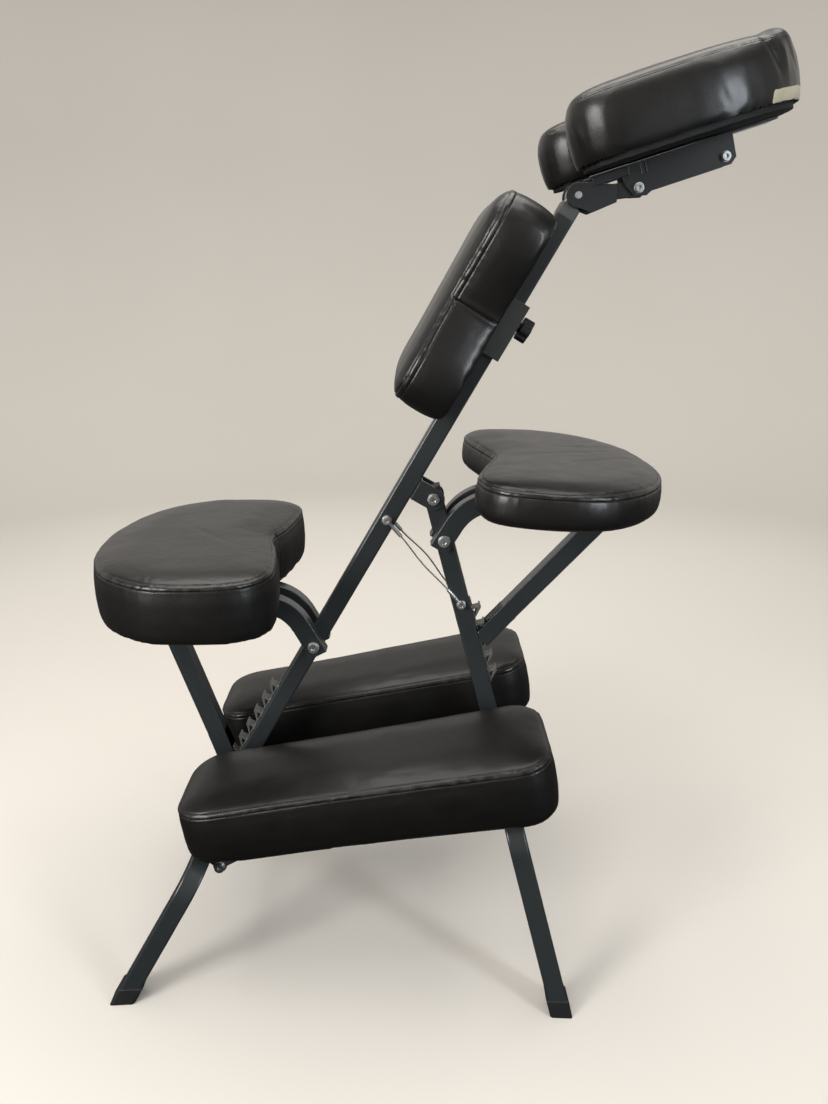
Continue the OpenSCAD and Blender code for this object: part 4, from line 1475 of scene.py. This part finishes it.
@dataclass
class StayCables:
    """The two stranded stay cables between the posts, one bowed up and one down."""

    top: tuple[float, float] = POST.point(687.0)
    low: tuple[float, float] = REAR.point(152.0)
    end: float = 6.5 + 22.0
    side: float = 14.8
    radius: float = 1.1
    bows: tuple[float, float] = (-0.025, 0.04)
    steps: int = 230
    sides: int = 18
    strands: int = 6
    groove: float = 0.2
    twist: float = 0.085

    def line(self, side: Side, bow: float) -> list[Vector]:
        """Centre line of one cable, in the row frame's mm."""
        a, b = Vector(self.top), Vector(self.low)
        along = (b - a).normalized()
        run = (b - a).length - 2 * self.end
        out = Vector((-along.y, along.x))
        points = []
        for k in range(self.steps + 1):
            t = k / self.steps
            p = a + along * (self.end + t * run) + out * (bow * run * math.sin(math.pi * t) ** 2)
            points.append(Vector((p.x, side.value * self.side, p.y)))
        return points

    def build(self) -> None:
        """Builds both cables."""
        bm = bmesh.new()
        for side, bow in zip(Side, self.bows):
            single = bmesh.new()
            line = self.line(side, bow)
            sweep_tube(
                single, line, self.radius, self.sides, self.strands, self.groove, self.twist
            )
            mesh = bpy.data.meshes.new("strand")
            single.to_mesh(mesh)
            single.free()
            bm.from_mesh(mesh)
            bpy.data.meshes.remove(mesh)
        bm.transform(TO_METRES)
        piece = new_object("stay_ropes", bm, FINISHES["cable_steel"].material())
        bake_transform(piece)
        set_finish(piece, "cable_steel")
        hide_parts("stay_cables")
        log.info("stay_ropes: %d faces on main and rear", len(piece.data.polygons))


@dataclass
class Metalwork:
    """Rounded copies of the CAD's sheet, strip and moulded parts, with their welds."""

    tube_round: float = 1.2
    sheet_round: float = 0.45
    bolt_round: float = 0.35
    strip_round: float = 0.5
    moulded_round: float = 0.9
    rest_round: float = 1.6
    cap_round: float = 0.7
    straight_from: float = 4.0
    board_inset: float = 2.2
    board_round: float = 0.8
    hook_pitch: float = 24.3
    weld_side: float = 7.4
    weld_radius: float = 1.1

    def welded_rack(self, bm: bmesh.types.BMesh, line: Line, first: float, count: int) -> None:
        """Adds the weld spots of a rack's back strip, two at each of its hooks."""
        for hook in range(count):
            top = first + self.hook_pitch * hook
            for side in Side:
                low = line.point(top - 5.0, TUBE / 2 + 0.4)
                high = line.point(top + 3.0, TUBE / 2 + 0.4)
                y = side.value * self.weld_side
                weld(bm, (low[0], y, low[1]), (high[0], y, high[1]), self.weld_radius)

    def platform(self, bm: bmesh.types.BMesh) -> None:
        """Adds what is pressed and riveted on the cradle channel's two sides."""
        place = TO_MM @ CRADLE.matrix()
        pressed_ribs = [((along, 16.2, 20.5), (1.3, 1.2, 13.0), 0.5) for along in (6.0, 12.0)]
        rivet = ((28.0, 16.2, 26.5), (2.4, 1.6, 2.4), 0.5)
        upper_strip = ((-30.0, 18.4, 27.2), (46.0, 3.2, 2.0), 0.7)
        lever_flange = ((-29.0, 17.8, 21.8), (42.0, 1.8, 10.6), 0.6)
        flange_end = ((-9.8, 16.5, 22.0), (5.0, 1.6, 8.0), 0.3)
        for centre, size, round_by in (
            *pressed_ribs,
            rivet,
            upper_strip,
            lever_flange,
            flange_end,
        ):
            along, across, out = centre
            for side in Side:
                self.block(bm, place, (along, side.value * across, out), size, round_by)

    def cradle_platform(self) -> None:
        """Builds the cradle's thin board, a little smaller than the cover that hangs over it."""
        place = CRADLE.matrix()
        bm = copy_of_node("cradle_board", place)
        inward = {}
        for vert in bm.verts:
            walls = [f.normal for f in vert.link_faces if abs(f.normal.z) < 0.5]
            total = sum(walls, Vector())
            inward[vert] = total.normalized() * self.board_inset if walls else Vector()
        for vert, shift in inward.items():
            vert.co -= shift
        round_edges(bm, self.board_round, 2, 50.0)
        bm.transform(place)
        finish_piece("cradle_board_dressed", bm, "cradle", FINISHES["dark_board"], ["cradle_board"])

    @staticmethod
    def block(
        bm: bmesh.types.BMesh,
        place: Matrix,
        centre: Sequence[float],
        size: Sequence[float],
        round_by: float,
    ) -> None:
        """Adds a strip or rib with rounded edges.

        Args:
            bm: Takes the strip, in the row frame's mm.
            place: The frame that its centre is in.
            centre: Its centre.
            size: Its length, width and thickness.
            round_by: The rounding of its edges.
        """
        matrix = place @ Matrix.Translation(centre) @ Matrix.Diagonal((*size, 1.0))
        verts = bmesh.ops.create_cube(bm, size=1.0, matrix=matrix)["verts"]
        bmesh.ops.bevel(
            bm,
            geom=list({e for v in verts for e in v.link_edges}),
            offset=round_by,
            offset_type="OFFSET",
            segments=2,
            profile=0.5,
            affect="EDGES",
            material=-1,
        )

    def build(self) -> None:
        """Builds the copies."""
        for node in ("seat_arms", "armrest_arms", "seat_strut", "armrest_strut"):
            dressed_copy(node, self.strip_round, self.tube_round, self.straight_from)
        self.copies(
            self.sheet_round,
            "hinge_bracket knee_lugs knee_bracket_near knee_bracket_far chest_sleeve cradle_stem",
        )
        dark = {"finish": DARK_PAINT, "suffix": "_cradle"}
        dressed_copy("cradle_arms", self.sheet_round, **dark)
        dressed_copy("cradle_channel", self.sheet_round, extra=self.platform, **dark)
        self.cradle_platform()
        self.copies(self.moulded_round, "post_collar cam_lever chest_knob rear_post_plug")
        self.copies(self.rest_round, "knee_rest_near knee_rest_far")
        self.copies(self.cap_round, "front_foot_caps rear_foot_caps")
        self.copies(
            self.bolt_round,
            "hinge_bolt seat_pivot_bolt armrest_pivot_bolt seat_strut_hinge_bolt "
            "armrest_strut_hinge_bolt knee_pivot_bolts upper_cable_ends lower_cable_ends "
            "cradle_bolts cradle_arm_bolt",
        )
        for node, line, first, count in (
            ("seat_rack", POST, 251.0, 7),
            ("armrest_rack", REAR, 163.0, 5),
        ):
            dressed_copy(
                node,
                self.strip_round,
                extra=lambda bm: self.welded_rack(bm, line, first, count),
            )

    @staticmethod
    def copies(width: float, nodes: str) -> None:
        """Makes the rounded copies of several nodes, given by their names."""
        for node in nodes.split():
            dressed_copy(node, width)


def coat_frame() -> None:
    """Gives every CAD node its finish."""
    for name, node in frame["nodes"].items():
        finish = FINISHES[slot_of(name)].material()
        node.data.materials.clear()
        node.data.materials.append(finish)


def main() -> None:
    """Builds the whole picture."""
    logging.basicConfig(level=logging.INFO, format="%(message)s")
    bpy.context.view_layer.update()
    coat_frame()
    StayCables().build()
    Metalwork().build()
    Upholstery().build()
    Studio().build()


if __name__ == "__main__":
    main()
